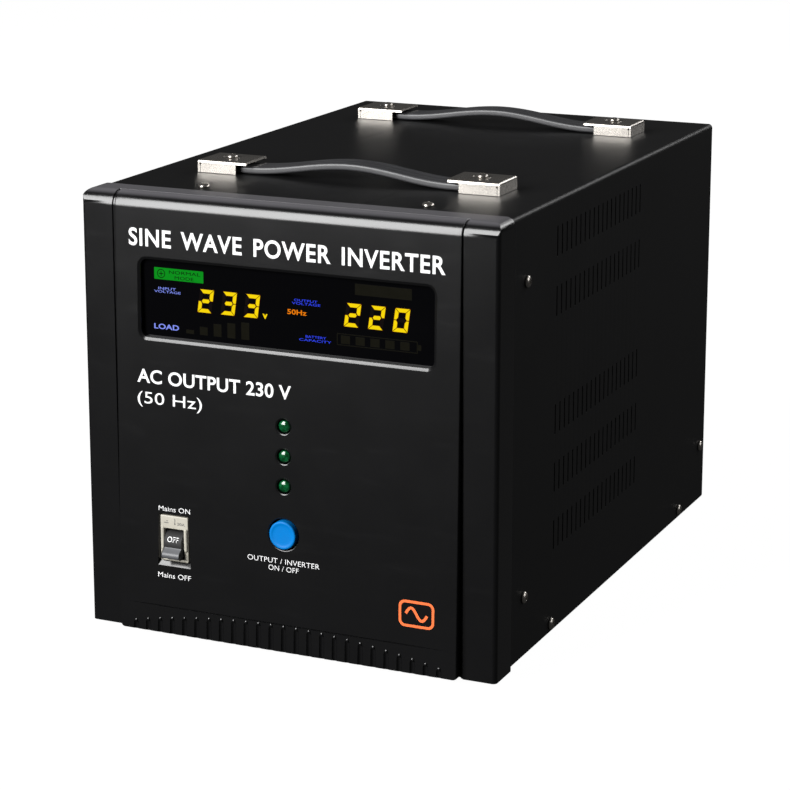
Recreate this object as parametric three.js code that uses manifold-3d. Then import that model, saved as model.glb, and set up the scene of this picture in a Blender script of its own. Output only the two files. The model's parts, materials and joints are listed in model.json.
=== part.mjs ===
// Power inverter in a folded steel case: moulded front with a display, breaker and push button,
// strap handles on top, fan, sockets and battery posts at the back.
// Millimetres, +Z up, +X to the right seen from the front, +Y to the back.
// The origin is on the ground under the middle of the whole unit.

import * as THREE from "three";
import { mergeVertices } from "three/addons/utils/BufferGeometryUtils.js";
import Module from "manifold-3d";

const wasm = await Module();
wasm.setup();

// ---------------------------------------------------------------- driving dimensions

// Overall
const faceWidth = 298;
const faceHeight = 300;
const unitDepth = 438; // front of the bezel to the back edge of the cover
const gap = 0.3; // clearance between pieces that touch

// Feet
const footClearance = 5; // bezel's bottom edge above the ground
const footRadius = 12;
const footTaper = 1.5;
const footInsetX = 44; // foot centre in from the side of the bezel
const footInsetFront = 60; // foot centre back from the front of the bezel
const footInsetRear = 40; // foot centre in from the back edge of the cover

// Bezel
const bezelDepth = 25.7;
const bezelWall = 2.5;
const bezelCornerRadius = 6;
const bezelSideRadius = 3;
const bezelTopRadius = 10;
const stripWidth = 22.5;
const grooveWidth = 2.6;
const ledgeThickness = 2.5;
const bayMarginX = 14.5; // width of the ledge behind each edge of the panel
const bayMarginBottom = 10;
const bayMarginTop = 4;
const headerDepth = 3; // solid rail behind the top radius

// Centre panel
const panelSkin = 2.5;
const panelProud = 5.5; // how far the panel's bottom edge stands out in front of the strips
const apronHeight = 19.5;
const apronLineDepth = 0.6;
const fluteCount = 25;
const flutePitch = 9.3;
const fluteRadius = 2.1;
const fluteDepth = 1.5;
const fluteEndHeight = 4.5;
const fluteMiddleHeight = 16;

// Display
const windowWidth = 214.8; // across the outer edge of the sloped lip
const windowHeight = 56.5;
const windowDrop = 69.8; // middle of the window below the bezel's top
const windowRadius = 7;
const windowLip = 2;
const sheetThickness = 2;
const sheetOverlap = 4.5; // window sheet past the opening, all round
const moduleMargin = 6; // display module in from the sheet's edge
const moduleDepth = 13;
const boardThickness = 1.6;
const boardTongueWidth = 50;
const boardMargin = 8; // board below the switch

// Lamps
const lampNames = ["mains", "inverter", "fault"];
const lampDrop = 47.5; // first lamp below the window
const lampPitch = 20.2;
const lensRadius = 4.25;
const lensClearance = 0.75;
const lensDomeHeight = 1.8;
const lensHeadDepth = 4.5;
const lampStemRadius = 2.5;

// Push button
const buttonHeight = 81.5;
const buttonRadius = 9.6;
const buttonClearance = 1.3;
const buttonStandOut = 2.2;
const buttonStroke = 3;
const buttonDepth = 10;
const stemSide = 6;
const switchSide = 15;
const switchDepth = 8;

// Mains breaker
const breakerX = -81.8;
const breakerWidth = 20.9;
const breakerNoseBottom = 51.7;
const breakerNoseHeight = 31.6;
const breakerNoseDepth = 13;
const breakerBodyHeight = 76;
const breakerBodyDepth = 52;
const leverWindowWidth = 14.3;
const leverWindowBottom = 53.7;
const leverWindowHeight = 20.6;
const leverDrumRadius = 8.6;
const leverReach = 14.5; // drum centre to the tip of the lever
const leverTipRadius = 2.6;
const leverDrop = 35; // degrees below level when it is switched off
const leverSetBack = 6; // drum centre behind the breaker's face

// Case
const sheet = 1.2;
const coverInset = 1.5; // cover's skin inside the bezel's outline
const bendRadius = 3;
const flangeDepth = 33;
const trayRim = 23;
const rearSetIn = 1; // rear panel in from the back edge of the cover

// Vents, both sides
const ventRows = [0, 1, 3, 4, 5]; // the third row is left blank
const ventRowPitch = 40.2;
const ventDrop = 28.7; // middle of the top row below the top of the cover
const ventSlots = 20;
const ventPitch = 8.67;
const ventStart = 79; // first slot behind the cover's front edge
const ventSlotHeight = 20.5;
const ventSlotWidth = 1.9;

// Screws
const screwRadius = 2;
const screwHeadRadius = 4;
const screwHeadHeight = 2.4;
const screwLength = 8;
const handleScrewLength = 18;
const crossWidth = 1.1;
const crossDepth = 1.2;
const topScrewX = 81.3;
const topScrewSetBack = 19; // behind the cover's front edge

// Handles
const handleX = 93; // bracket screw, either side of the middle
const handleFrontInset = 81.5; // front strap behind the cover's front edge
const handleRearInset = 71.5; // rear strap in from the cover's back edge
const bracketLength = 37;
const bracketDepth = 31;
const bracketHeight = 9;
const bracketSheet = 1.5;
const bracketTongue = 8; // top plate past the flanges, over the strap
const bracketCornerGap = 1;
const strapWidth = 20;
const strapThickness = 4;
const strapRib = 1;
const strapRibWidth = 4.4;
const strapRibs = 3;
const strapSeat = 0.6;
const strapRise = 7.5;
const strapTail = 9; // strap past the bracket's screw
const strapSlotLength = 14;
const strapSlotWidth = 6;
const strapSteps = 14;

// Fan
const fanSize = 120;
const fanDepth = 25;
const fanWall = 3;
const fanMarginX = 10.8; // fan in from the rear panel's side flange
const fanMarginZ = 27.2; // fan below the rear panel's top
const fanHubRadius = 20;
const fanMotorDepth = 5;
const fanStrutWidth = 5;
const fanBlades = 7;
const fanBladeThickness = 1.8;
const fanBladePitch = 43; // degrees
const fanTipGap = 2.5;
const rotorFrontGap = 1;
const rotorBackGap = 3;
const guardBar = 2.2;
const guardRingCount = 3;
const guardRingPitch = 16;

// Sockets and posts on the rear panel
const socketMarginX = 11.8; // first socket in from the rear panel's side flange
const socketMarginZ = 34; // sockets below the rear panel's top
const socketPitch = 62;
const socketFace = 50;
const socketFaceThickness = 3;
const socketBodyRadius = 22.5;
const socketBodyDepth = 26;
const socketWellRadius = 19.5;
const socketWellDepth = 17;
const socketPinRadius = 2.5;
const socketPinSpacing = 19;
const socketPinDepth = 8;
const inletDrop = 70; // inlet and fuse below the sockets
const inletWidth = 48;
const inletHeight = 24;
const inletFaceThickness = 3;
const inletBodyWidth = 29;
const inletBodyHeight = 20;
const inletBodyDepth = 22;
const inletRecessWidth = 25;
const inletRecessHeight = 16;
const inletRecessDepth = 17;
const fuseRadius = 6;
const fuseLength = 28;
const fuseCapRadius = 8;
const fuseCapDepth = 9;
const postZ = 80;
const postBaseRadius = 17;
const postBaseDepth = 12;
const postCollarRadius = 7;
const studRadius = 4;
const studLength = 24; // bare stud past the insulator
const studNutRadius = 7.5;
const studNutDepth = 6;

// Inside
const ringOuterRadius = 92;
const ringInnerRadius = 24;
const ringHeight = 88;
const ringMargin = 14.5; // ring in front of the fan
const clampRadius = 52;
const clampThickness = 3;
const boltRadius = 5;
const heatsinkWidth = 200;
const heatsinkLength = 116;
const heatsinkHeight = 40;
const heatsinkSetBack = 56; // behind the cover's front edge
const heatsinkFins = 10;
const heatsinkBase = 8;
const capacitorRadius = 17.5;
const capacitorHeight = 52;

// ---------------------------------------------------------------- derived places

const halfFace = faceWidth / 2;
const pocketHalf = halfFace - stripWidth;
const panelHalf = pocketHalf - grooveWidth;
const panelTop = faceHeight - bezelTopRadius; // where the face turns into the top radius
const ledgeFront = panelSkin + gap;
const ledgeBack = ledgeFront + ledgeThickness;
const bayHalf = pocketHalf - bayMarginX;
const bayTop = panelTop - bayMarginTop;

const coverHalf = halfFace - coverInset;
const coverTop = faceHeight - coverInset;
const coverBottom = coverInset;
const coverFront = bezelDepth + gap;
const innerHalf = coverHalf - sheet - gap;
const trayTop = coverBottom + sheet;
const plateBottom = trayTop + gap;
const plateTop = coverTop - bendRadius - gap;
const flangeBottom = coverBottom + trayRim + gap;
const rearOuter = unitDepth - rearSetIn;
const rearInner = rearOuter - sheet;
const frontPlateBack = coverFront + sheet;

const sheetFront = panelSkin + gap;
const moduleFront = sheetFront + sheetThickness + gap;
const boardFront = moduleFront + moduleDepth + gap;

const windowCentre = faceHeight - windowDrop;
const sheetHalf = windowWidth / 2 - windowLip + sheetOverlap;
const sheetLow = windowCentre - windowHeight / 2 + windowLip - sheetOverlap;
const sheetHigh = windowCentre + windowHeight / 2 - windowLip + sheetOverlap;
const lampHeights = lampNames.map((_, i) => windowCentre - windowHeight / 2 - lampDrop - i * lampPitch);
const boardTongueBottom = buttonHeight - switchSide / 2 - boardMargin;

// The face of the centre panel leans out towards its bottom edge.
const faceY = (z) => (-panelProud * (panelTop - z)) / panelTop;

const sideScrews = [
  [coverFront + 24.5, coverTop - 44.5],
  [coverFront + 24.5, coverBottom + 41],
  [coverFront + 75, coverBottom + 6],
  [unitDepth - 61.6, coverBottom + 6],
  [unitDepth - 11.3, coverBottom + 43.9],
];
const handles = { front: coverFront + handleFrontInset, rear: unitDepth - handleRearInset };

const flangeInside = innerHalf - sheet;
const fanBore = fanSize / 2 - fanWall;
const fanX = flangeInside - fanMarginX - fanSize / 2;
const fanZ = plateTop - fanMarginZ - fanSize / 2;
const fanBack = rearInner - gap;
const fanFront = fanBack - fanDepth;
const socketLeft = socketMarginX + socketFace / 2 - flangeInside;
const socketX = [socketLeft, socketLeft + socketPitch];
const socketZ = plateTop - socketMarginZ - socketFace / 2;
const inletZ = socketZ - inletDrop;
const [inletX, fuseX] = socketX;
const postX = { negative: socketX[0], positive: socketX[1] };

const breakerFace = faceY(breakerNoseBottom + breakerNoseHeight / 2) + 0.4;
const leverZ = leverWindowBottom + leverWindowHeight / 2;
const leverY = breakerFace + leverSetBack;
const leverAngle = THREE.MathUtils.degToRad(leverDrop);
const leverTipY = leverY - (leverReach - leverTipRadius) * Math.cos(leverAngle) - leverTipRadius;
const buttonFront = faceY(buttonHeight) - buttonStandOut;

const postBack = rearOuter + gap + postBaseDepth;
const studEnd = postBack + gap + studLength;
const frontMost = Math.min(leverTipY, buttonFront, -panelProud);
const middleY = (frontMost + studEnd) / 2;

// ---------------------------------------------------------------- solids and shapes

// A closed three.js geometry as a solid that can be joined and cut.
function solid(geometry) {
  const source = geometry.index ? geometry.toNonIndexed() : geometry;
  const bare = new THREE.BufferGeometry();
  bare.setAttribute("position", source.getAttribute("position"));
  const merged = mergeVertices(bare, 1e-4);
  const mesh = new wasm.Mesh({
    numProp: 3,
    vertProperties: merged.attributes.position.array,
    triVerts: new Uint32Array(merged.index.array),
  });
  return new wasm.Manifold(mesh);
}

// The finished solid as a three.js geometry with flat faces.
function geometryOf(made) {
  const mesh = made.getMesh();
  const geometry = new THREE.BufferGeometry();
  geometry.setAttribute("position", new THREE.BufferAttribute(mesh.vertProperties, 3));
  geometry.setIndex(new THREE.BufferAttribute(mesh.triVerts, 1));
  const flat = geometry.toNonIndexed();
  flat.computeVertexNormals();
  return flat;
}

function block(x0, x1, y0, y1, z0, z1) {
  const geometry = new THREE.BoxGeometry(x1 - x0, y1 - y0, z1 - z0);
  geometry.translate((x0 + x1) / 2, (y0 + y1) / 2, (z0 + z1) / 2);
  return solid(geometry);
}

const alongY = new THREE.Matrix4().makeRotationX(Math.PI / 2);
const alongX = new THREE.Matrix4().makeBasis(
  new THREE.Vector3(0, 1, 0),
  new THREE.Vector3(0, 0, 1),
  new THREE.Vector3(1, 0, 0),
);

function extrude(shape, depth, curveSegments) {
  return new THREE.ExtrudeGeometry(shape, { depth, bevelEnabled: false, curveSegments });
}

// A shape drawn in X and Z, running from y0 to y1.
function prismY(shape, y0, y1, curveSegments = 4) {
  return solid(extrude(shape, y1 - y0, curveSegments).applyMatrix4(alongY).translate(0, y1, 0));
}

// A shape drawn in Y and Z, running from x0 to x1.
function prismX(shape, x0, x1, curveSegments = 4) {
  return solid(extrude(shape, x1 - x0, curveSegments).applyMatrix4(alongX).translate(x0, 0, 0));
}

// A shape drawn in X and Y, running from z0 to z1.
function prismZ(shape, z0, z1, curveSegments = 4) {
  return solid(extrude(shape, z1 - z0, curveSegments).translate(0, 0, z0));
}

function outline(points) {
  return new THREE.Shape(points.map(([u, v]) => new THREE.Vector2(u, v)));
}

// A rectangle with the same radius on all four corners, about its centre.
function roundedRectangle(width, height, radius, u = 0, v = 0) {
  const a = width / 2 - radius;
  const b = height / 2 - radius;
  const shape = new THREE.Shape();
  shape.absarc(u + a, v + b, radius, 0, Math.PI / 2);
  shape.absarc(u - a, v + b, radius, Math.PI / 2, Math.PI);
  shape.absarc(u - a, v - b, radius, Math.PI, 1.5 * Math.PI);
  shape.absarc(u + a, v - b, radius, 1.5 * Math.PI, 2 * Math.PI);
  shape.closePath();
  return shape;
}

// A round bar along Y.
function barY(radius, y0, y1, x, z, sides = 16) {
  const geometry = new THREE.CylinderGeometry(radius, radius, y1 - y0, sides);
  return solid(geometry.translate(x, (y0 + y1) / 2, z));
}

// A round bar along Z.
function barZ(radius, z0, z1, x, y, sides = 12) {
  const geometry = new THREE.CylinderGeometry(radius, radius, z1 - z0, sides);
  return solid(geometry.rotateX(Math.PI / 2).translate(x, y, (z0 + z1) / 2));
}

// A round bar along X.
function barX(radius, x0, x1, y, z, sides = 12) {
  const geometry = new THREE.CylinderGeometry(radius, radius, x1 - x0, sides);
  return solid(geometry.rotateZ(Math.PI / 2).translate((x0 + x1) / 2, y, z));
}

// A turned piece about Z. The profile lists radius and height, from the bottom up.
function turned(profile, sides = 16) {
  const points = profile.map(([r, h]) => new THREE.Vector2(r, h));
  return solid(new THREE.LatheGeometry(points, sides).rotateX(Math.PI / 2));
}

function joined(pieces) {
  return pieces.reduce((whole, piece) => whole.add(piece));
}

function cut(whole, pieces) {
  return pieces.reduce((rest, piece) => rest.subtract(piece), whole);
}

const unit = new THREE.Group();
unit.position.set(0, -middleY, footClearance);

function addPiece(name, made, look, parent = unit) {
  const material = new THREE.MeshStandardMaterial({
    color: look.color,
    roughness: look.roughness,
    metalness: look.metalness,
  });
  const mesh = new THREE.Mesh(made.isBufferGeometry ? made : geometryOf(made), material);
  mesh.name = name;
  parent.add(mesh);
  return mesh;
}

const looks = {
  blackMoulding: { color: 0x1b1b1c, roughness: 0.45, metalness: 0 },
  blackPaint: { color: 0x18181a, roughness: 0.35, metalness: 0.2 },
  smokedSheet: { color: 0x050506, roughness: 0.08, metalness: 0 },
  darkPlastic: { color: 0x141414, roughness: 0.6, metalness: 0 },
  circuitBoard: { color: 0x14502a, roughness: 0.5, metalness: 0 },
  greenLens: { color: 0x1d3d22, roughness: 0.2, metalness: 0 },
  blueCap: { color: 0x0a7fd8, roughness: 0.35, metalness: 0 },
  creamPlastic: { color: 0xe4dfcf, roughness: 0.5, metalness: 0 },
  greyLever: { color: 0x5c6066, roughness: 0.5, metalness: 0 },
  nickel: { color: 0xd9d6d0, roughness: 0.15, metalness: 1 },
  strapRubber: { color: 0x2a2a2c, roughness: 0.55, metalness: 0 },
  footRubber: { color: 0x111111, roughness: 0.9, metalness: 0 },
  redPlastic: { color: 0xb01c16, roughness: 0.5, metalness: 0 },
  brass: { color: 0xb89a55, roughness: 0.3, metalness: 1 },
  aluminium: { color: 0xb4b6b9, roughness: 0.4, metalness: 1 },
  galvanised: { color: 0x9a9da0, roughness: 0.45, metalness: 0.9 },
  winding: { color: 0xb36a2e, roughness: 0.5, metalness: 0.3 },
  capacitorSleeve: { color: 0x1c2a4a, roughness: 0.4, metalness: 0 },
};

// ---------------------------------------------------------------- bezel

function bezelBody() {
  const face = new THREE.Shape();
  const a = halfFace - bezelCornerRadius;
  face.moveTo(-halfFace, 0);
  face.lineTo(halfFace, 0);
  face.absarc(a, faceHeight - bezelCornerRadius, bezelCornerRadius, 0, Math.PI / 2);
  face.absarc(-a, faceHeight - bezelCornerRadius, bezelCornerRadius, Math.PI / 2, Math.PI);
  face.closePath();

  const side = new THREE.Shape();
  side.moveTo(0, 0);
  side.lineTo(bezelDepth, 0);
  side.lineTo(bezelDepth, faceHeight);
  side.absarc(bezelTopRadius, panelTop, bezelTopRadius, Math.PI / 2, Math.PI);
  side.closePath();

  const plan = new THREE.Shape();
  const b = halfFace - bezelSideRadius;
  plan.moveTo(halfFace, bezelDepth);
  plan.lineTo(-halfFace, bezelDepth);
  plan.absarc(-b, bezelSideRadius, bezelSideRadius, Math.PI, 1.5 * Math.PI);
  plan.absarc(b, bezelSideRadius, bezelSideRadius, 1.5 * Math.PI, 2 * Math.PI);
  plan.closePath();

  return prismY(face, 0, bezelDepth)
    .intersect(prismX(side, -halfFace, halfFace, 6))
    .intersect(prismZ(plan, 0, faceHeight));
}

// The seat that the centre panel drops into, open at the front and at the bottom.
function panelPocket() {
  const radius = bezelTopRadius - panelSkin - gap;
  const back = bezelTopRadius + gap;
  const seat = new THREE.Shape();
  seat.moveTo(-20, -20);
  seat.lineTo(ledgeFront, -20);
  seat.lineTo(ledgeFront, panelTop);
  seat.absarc(bezelTopRadius, panelTop, radius, Math.PI, Math.PI / 2, true);
  seat.lineTo(back, panelTop + radius);
  seat.lineTo(back, faceHeight + 20);
  seat.lineTo(-20, faceHeight + 20);
  seat.closePath();
  return prismX(seat, -pocketHalf, pocketHalf, 6);
}

const stripHollow = (side) => {
  const inner = pocketHalf + bezelWall;
  const outer = halfFace - bezelWall;
  const top = panelTop - bezelWall;
  return side > 0
    ? block(inner, outer, bezelWall, bezelDepth + 1, bezelWall, top)
    : block(-outer, -inner, bezelWall, bezelDepth + 1, bezelWall, top);
};

const headerTop = faceHeight - panelSkin - gap - bezelWall;
const bezel = cut(bezelBody(), [
  panelPocket(),
  stripHollow(1),
  stripHollow(-1),
  block(-bayHalf, bayHalf, 0, bezelDepth + 1, bayMarginBottom, bayTop),
  block(-pocketHalf, pocketHalf, ledgeBack, bezelDepth + 1, bezelWall, bayTop),
  block(-pocketHalf, pocketHalf, bezelTopRadius + headerDepth, bezelDepth + 1, bayTop - 1, headerTop),
]);
addPiece("front_bezel", bezel, looks.blackMoulding);

// ---------------------------------------------------------------- centre panel

function panelBody() {
  const radius = bezelTopRadius;
  const inside = radius - panelSkin;
  const section = new THREE.Shape();
  section.moveTo(panelSkin, 0);
  section.lineTo(panelSkin, panelTop);
  section.absarc(radius, panelTop, inside, Math.PI, Math.PI / 2, true);
  section.lineTo(radius, faceHeight);
  section.absarc(radius, panelTop, radius, Math.PI / 2, Math.PI);
  section.lineTo(-panelProud, 0);
  section.closePath();
  return prismX(section, -panelHalf, panelHalf, 6);
}

// The wedge behind the face is hollow below the window, with a wall on every side.
function panelHollow() {
  const top = windowCentre - windowHeight / 2 - 3 * panelSkin;
  const section = outline([
    [panelSkin + 1, panelSkin],
    [panelSkin + 1, top],
    [faceY(top) + panelSkin, top],
    [faceY(panelSkin) + panelSkin, panelSkin],
  ]);
  return prismX(section, panelSkin - panelHalf, panelHalf - panelSkin);
}

// The window is a straight opening with a sloped lip round it.
function windowOpening() {
  const lipY = faceY(windowCentre);
  const width = windowWidth - 2 * windowLip;
  const height = windowHeight - 2 * windowLip;
  const radius = windowRadius - windowLip;
  const through = roundedRectangle(width, height, radius, 0, windowCentre);
  const opening = prismY(through, lipY - 10, panelSkin + 1);
  const flare = new THREE.ExtrudeGeometry(roundedRectangle(width, height, radius), {
    depth: 0.01,
    bevelEnabled: true,
    bevelSegments: 1,
    bevelSize: windowLip + 1,
    bevelThickness: windowLip + 1,
    curveSegments: 4,
  });
  flare.applyMatrix4(alongY).translate(0, lipY - 1, windowCentre);
  return opening.add(solid(flare));
}

const fluteTop = (x) => {
  const reach = ((fluteCount - 1) / 2) * flutePitch;
  return fluteMiddleHeight - (fluteMiddleHeight - fluteEndHeight) * (x / reach) ** 2;
};

function flute(x) {
  const top = fluteTop(x);
  const axisY = faceY(0) + fluteDepth - fluteRadius;
  const run = new THREE.CylinderGeometry(fluteRadius, fluteRadius, top + 2, 8);
  run.rotateX(Math.PI / 2).translate(x, axisY, (top - 2) / 2);
  const end = new THREE.SphereGeometry(fluteRadius, 8, 4).rotateX(Math.PI / 2).translate(x, axisY, top);
  return solid(run).add(solid(end));
}

const flutes = Array.from({ length: fluteCount }, (_, i) => flute((i - (fluteCount - 1) / 2) * flutePitch));
const apronLineY = faceY(apronHeight);
const apronLine = outline([
  [apronLineY - 1, apronHeight - 0.8],
  [apronLineY + apronLineDepth, apronHeight],
  [apronLineY - 1, apronHeight + 0.8],
]);

const breakerCutOut = block(
  breakerX - breakerWidth / 2 - gap,
  breakerX + breakerWidth / 2 + gap,
  -2 * panelProud,
  panelSkin + 1,
  breakerNoseBottom - gap,
  breakerNoseBottom + breakerNoseHeight + gap,
);

const panel = cut(panelBody(), [
  panelHollow(),
  windowOpening(),
  ...lampHeights.map((z) => barY(lensRadius + lensClearance, -2 * panelProud, panelSkin + 1, 0, z)),
  barY(buttonRadius + buttonClearance, -2 * panelProud, panelSkin + 1, 0, buttonHeight, 28),
  breakerCutOut,
  prismX(apronLine, -panelHalf - 1, panelHalf + 1),
  ...flutes,
]);
addPiece("front_panel", panel, looks.blackMoulding);

// ---------------------------------------------------------------- display and front board

addPiece(
  "display_window",
  block(-sheetHalf, sheetHalf, sheetFront, sheetFront + sheetThickness, sheetLow, sheetHigh),
  looks.smokedSheet,
);
addPiece(
  "display_module",
  block(
    moduleMargin - sheetHalf,
    sheetHalf - moduleMargin,
    moduleFront,
    moduleFront + moduleDepth,
    sheetLow + moduleMargin,
    sheetHigh - moduleMargin,
  ),
  looks.darkPlastic,
);

const boardBack = boardFront + boardThickness;
const boardPlate = block(-sheetHalf, sheetHalf, boardFront, boardBack, sheetLow, sheetHigh);
const boardTongue = block(
  -boardTongueWidth / 2,
  boardTongueWidth / 2,
  boardFront,
  boardBack,
  boardTongueBottom,
  sheetLow + 1,
);
addPiece("front_board", boardPlate.add(boardTongue), looks.circuitBoard);

// ---------------------------------------------------------------- lamps

// Each lens is turned about its own axis with the dome's tip level with the face of the panel.
lampHeights.forEach((z, i) => {
  const tip = -faceY(z);
  const back = gap - boardFront;
  const neck = tip - lensDomeHeight - lensHeadDepth;
  const lens = turned([
    [0, back],
    [lampStemRadius, back],
    [lampStemRadius, neck],
    [lensRadius, neck],
    [lensRadius, tip - lensDomeHeight],
    [lensRadius * 0.8, tip - lensDomeHeight * 0.4],
    [lensRadius * 0.42, tip - lensDomeHeight * 0.1],
    [0, tip],
  ], 14);
  const mesh = addPiece(lampNames[i] + "_lens", lens, looks.greenLens);
  mesh.rotation.x = Math.PI / 2;
  mesh.position.z = z;
});

// ---------------------------------------------------------------- push button and its switch

const switchFront = boardFront - gap - switchDepth;
const buttonBack = buttonFront + buttonDepth;
const stemEnd = switchFront + switchDepth - buttonStroke - 1;
const buttonCap = turned([
  [0, -buttonBack],
  [buttonRadius, -buttonBack],
  [buttonRadius, -buttonFront - 1.2],
  [buttonRadius - 0.4, -buttonFront - 0.4],
  [buttonRadius - 1.2, -buttonFront],
  [buttonRadius - 2.2, -buttonFront - 0.5],
  [0, -buttonFront - 0.5],
], 28);
const buttonStem = block(
  -stemSide / 2,
  stemSide / 2,
  -stemSide / 2,
  stemSide / 2,
  -stemEnd,
  -buttonBack + 0.5,
);
const button = addPiece("power_button", buttonCap.add(buttonStem), looks.blueCap);
button.rotation.x = Math.PI / 2;
button.position.z = buttonHeight;

const switchBore = stemSide / 2 + gap;
const switchBody = block(
  -switchSide / 2,
  switchSide / 2,
  switchFront,
  switchFront + switchDepth,
  buttonHeight - switchSide / 2,
  buttonHeight + switchSide / 2,
);
const switchWell = block(
  -switchBore,
  switchBore,
  switchFront - 1,
  switchFront + switchDepth - 0.5,
  buttonHeight - switchBore,
  buttonHeight + switchBore,
);
addPiece("power_switch", switchBody.subtract(switchWell), looks.darkPlastic);

// ---------------------------------------------------------------- breaker

const breakerLeft = breakerX - breakerWidth / 2;
const breakerRight = breakerX + breakerWidth / 2;
const breakerMiddleZ = breakerNoseBottom + breakerNoseHeight / 2;
const breakerShoulder = breakerFace + breakerNoseDepth;
const breakerNose = block(
  breakerLeft,
  breakerRight,
  breakerFace,
  breakerShoulder + 1,
  breakerNoseBottom,
  breakerNoseBottom + breakerNoseHeight,
);
const breakerBlock = block(
  breakerLeft,
  breakerRight,
  breakerShoulder,
  breakerShoulder + breakerBodyDepth,
  breakerMiddleZ - breakerBodyHeight / 2,
  breakerMiddleZ + breakerBodyHeight / 2,
);
const leverWell = block(
  breakerX - leverWindowWidth / 2,
  breakerX + leverWindowWidth / 2,
  breakerFace - 1,
  leverY + leverDrumRadius + 2 * gap,
  leverWindowBottom,
  leverWindowBottom + leverWindowHeight,
);
addPiece("breaker_body", breakerNose.add(breakerBlock).subtract(leverWell), looks.creamPlastic);

// The lever is drawn pointing straight out of the breaker and then turned down to its off position.
const leverHalf = leverWindowWidth / 2 - 2 * gap;
const leverArm = block(
  -leverHalf,
  leverHalf,
  leverTipRadius - leverReach,
  0,
  -leverTipRadius,
  leverTipRadius,
);
const lever = joined([
  barX(leverDrumRadius, -leverHalf, leverHalf, 0, 0, 24),
  leverArm,
  barX(leverTipRadius, -leverHalf, leverHalf, leverTipRadius - leverReach, 0, 12),
]);
const leverMesh = addPiece("breaker_lever", lever, looks.greyLever);
leverMesh.position.set(breakerX, leverY, leverZ);
leverMesh.rotation.x = leverAngle;

// ---------------------------------------------------------------- case

const holeRadius = screwRadius + gap;
const topScrewY = coverFront + topScrewSetBack;
const sideHole = ([y, z]) => barX(holeRadius, -halfFace, halfFace, y, z, 10);
const topHoles = [-1, 1].map((side) =>
  barZ(holeRadius, coverTop - 10, coverTop + 1, side * topScrewX, topScrewY),
);
const handleSpots = Object.values(handles).flatMap((y) => [-1, 1].map((side) => [side, y]));
const handleHoles = handleSpots.map(([side, y]) =>
  barZ(holeRadius, coverTop - 10, coverTop + 1, side * handleX, y),
);

function coverSection() {
  const outer = coverHalf - bendRadius;
  const bendZ = coverTop - bendRadius;
  const inside = bendRadius - sheet;
  const wall = coverHalf - sheet;
  const shape = new THREE.Shape();
  shape.moveTo(wall, coverBottom);
  shape.lineTo(coverHalf, coverBottom);
  shape.absarc(outer, bendZ, bendRadius, 0, Math.PI / 2);
  shape.absarc(-outer, bendZ, bendRadius, Math.PI / 2, Math.PI);
  shape.lineTo(-coverHalf, coverBottom);
  shape.lineTo(-wall, coverBottom);
  shape.absarc(-outer, bendZ, inside, Math.PI, Math.PI / 2, true);
  shape.absarc(outer, bendZ, inside, Math.PI / 2, 0, true);
  shape.closePath();
  return shape;
}

const ventCuts = ventRows.flatMap((row) =>
  Array.from({ length: ventSlots }, (_, i) => {
    const y = coverFront + ventStart + i * ventPitch;
    const z = coverTop - ventDrop - row * ventRowPitch;
    return block(
      -halfFace,
      halfFace,
      y - ventSlotWidth / 2,
      y + ventSlotWidth / 2,
      z - ventSlotHeight / 2,
      z + ventSlotHeight / 2,
    );
  }),
);
const cover = cut(prismY(coverSection(), coverFront, unitDepth, 3), [
  ...ventCuts,
  ...sideScrews.map(sideHole),
  ...topHoles,
  ...handleHoles,
]);
addPiece("case_cover", cover, looks.blackPaint);

// Front plate: a sheet behind the bezel with side and top flanges for the cover's screws.
const sideFlanges = (y0, y1) => [
  block(flangeInside, innerHalf, y0, y1, flangeBottom, plateTop),
  block(-innerHalf, -flangeInside, y0, y1, flangeBottom, plateTop),
];
const topTabZ = coverTop - sheet - gap;
const topTabHalf = coverHalf - 2 * bendRadius;
const frontPlate = joined([
  block(-innerHalf, innerHalf, coverFront, frontPlateBack, plateBottom, plateTop),
  ...sideFlanges(coverFront, coverFront + flangeDepth),
  block(-topTabHalf, topTabHalf, coverFront, frontPlateBack, plateTop - 1, topTabZ),
  block(-topTabHalf, topTabHalf, coverFront, coverFront + flangeDepth, topTabZ - sheet, topTabZ),
]);
const breakerPassage = block(
  breakerLeft - 2,
  breakerRight + 2,
  coverFront - 1,
  frontPlateBack + 1,
  breakerMiddleZ - breakerBodyHeight / 2 - 2,
  breakerMiddleZ + breakerBodyHeight / 2 + 2,
);
const cablePassage = barY(15, coverFront - 1, frontPlateBack + 1, 0, (boardTongueBottom + sheetLow) / 2);
addPiece(
  "front_plate",
  cut(frontPlate, [breakerPassage, cablePassage, ...sideScrews.map(sideHole), ...topHoles]),
  looks.galvanised,
);

// Base tray: floor with a rim up each side.
const rimFront = frontPlateBack + gap;
const rimBack = rearInner - gap;
const rimTop = coverBottom + trayRim;
const tray = joined([
  block(-innerHalf, innerHalf, coverFront, rearOuter, coverBottom, trayTop),
  block(flangeInside, innerHalf, rimFront, rimBack, coverBottom, rimTop),
  block(-innerHalf, -flangeInside, rimFront, rimBack, coverBottom, rimTop),
]);
const footY = [footInsetFront, unitDepth - footInsetRear];
const footX = halfFace - footInsetX;
addPiece("base_tray", cut(tray, sideScrews.map(sideHole)), looks.blackPaint);

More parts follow.
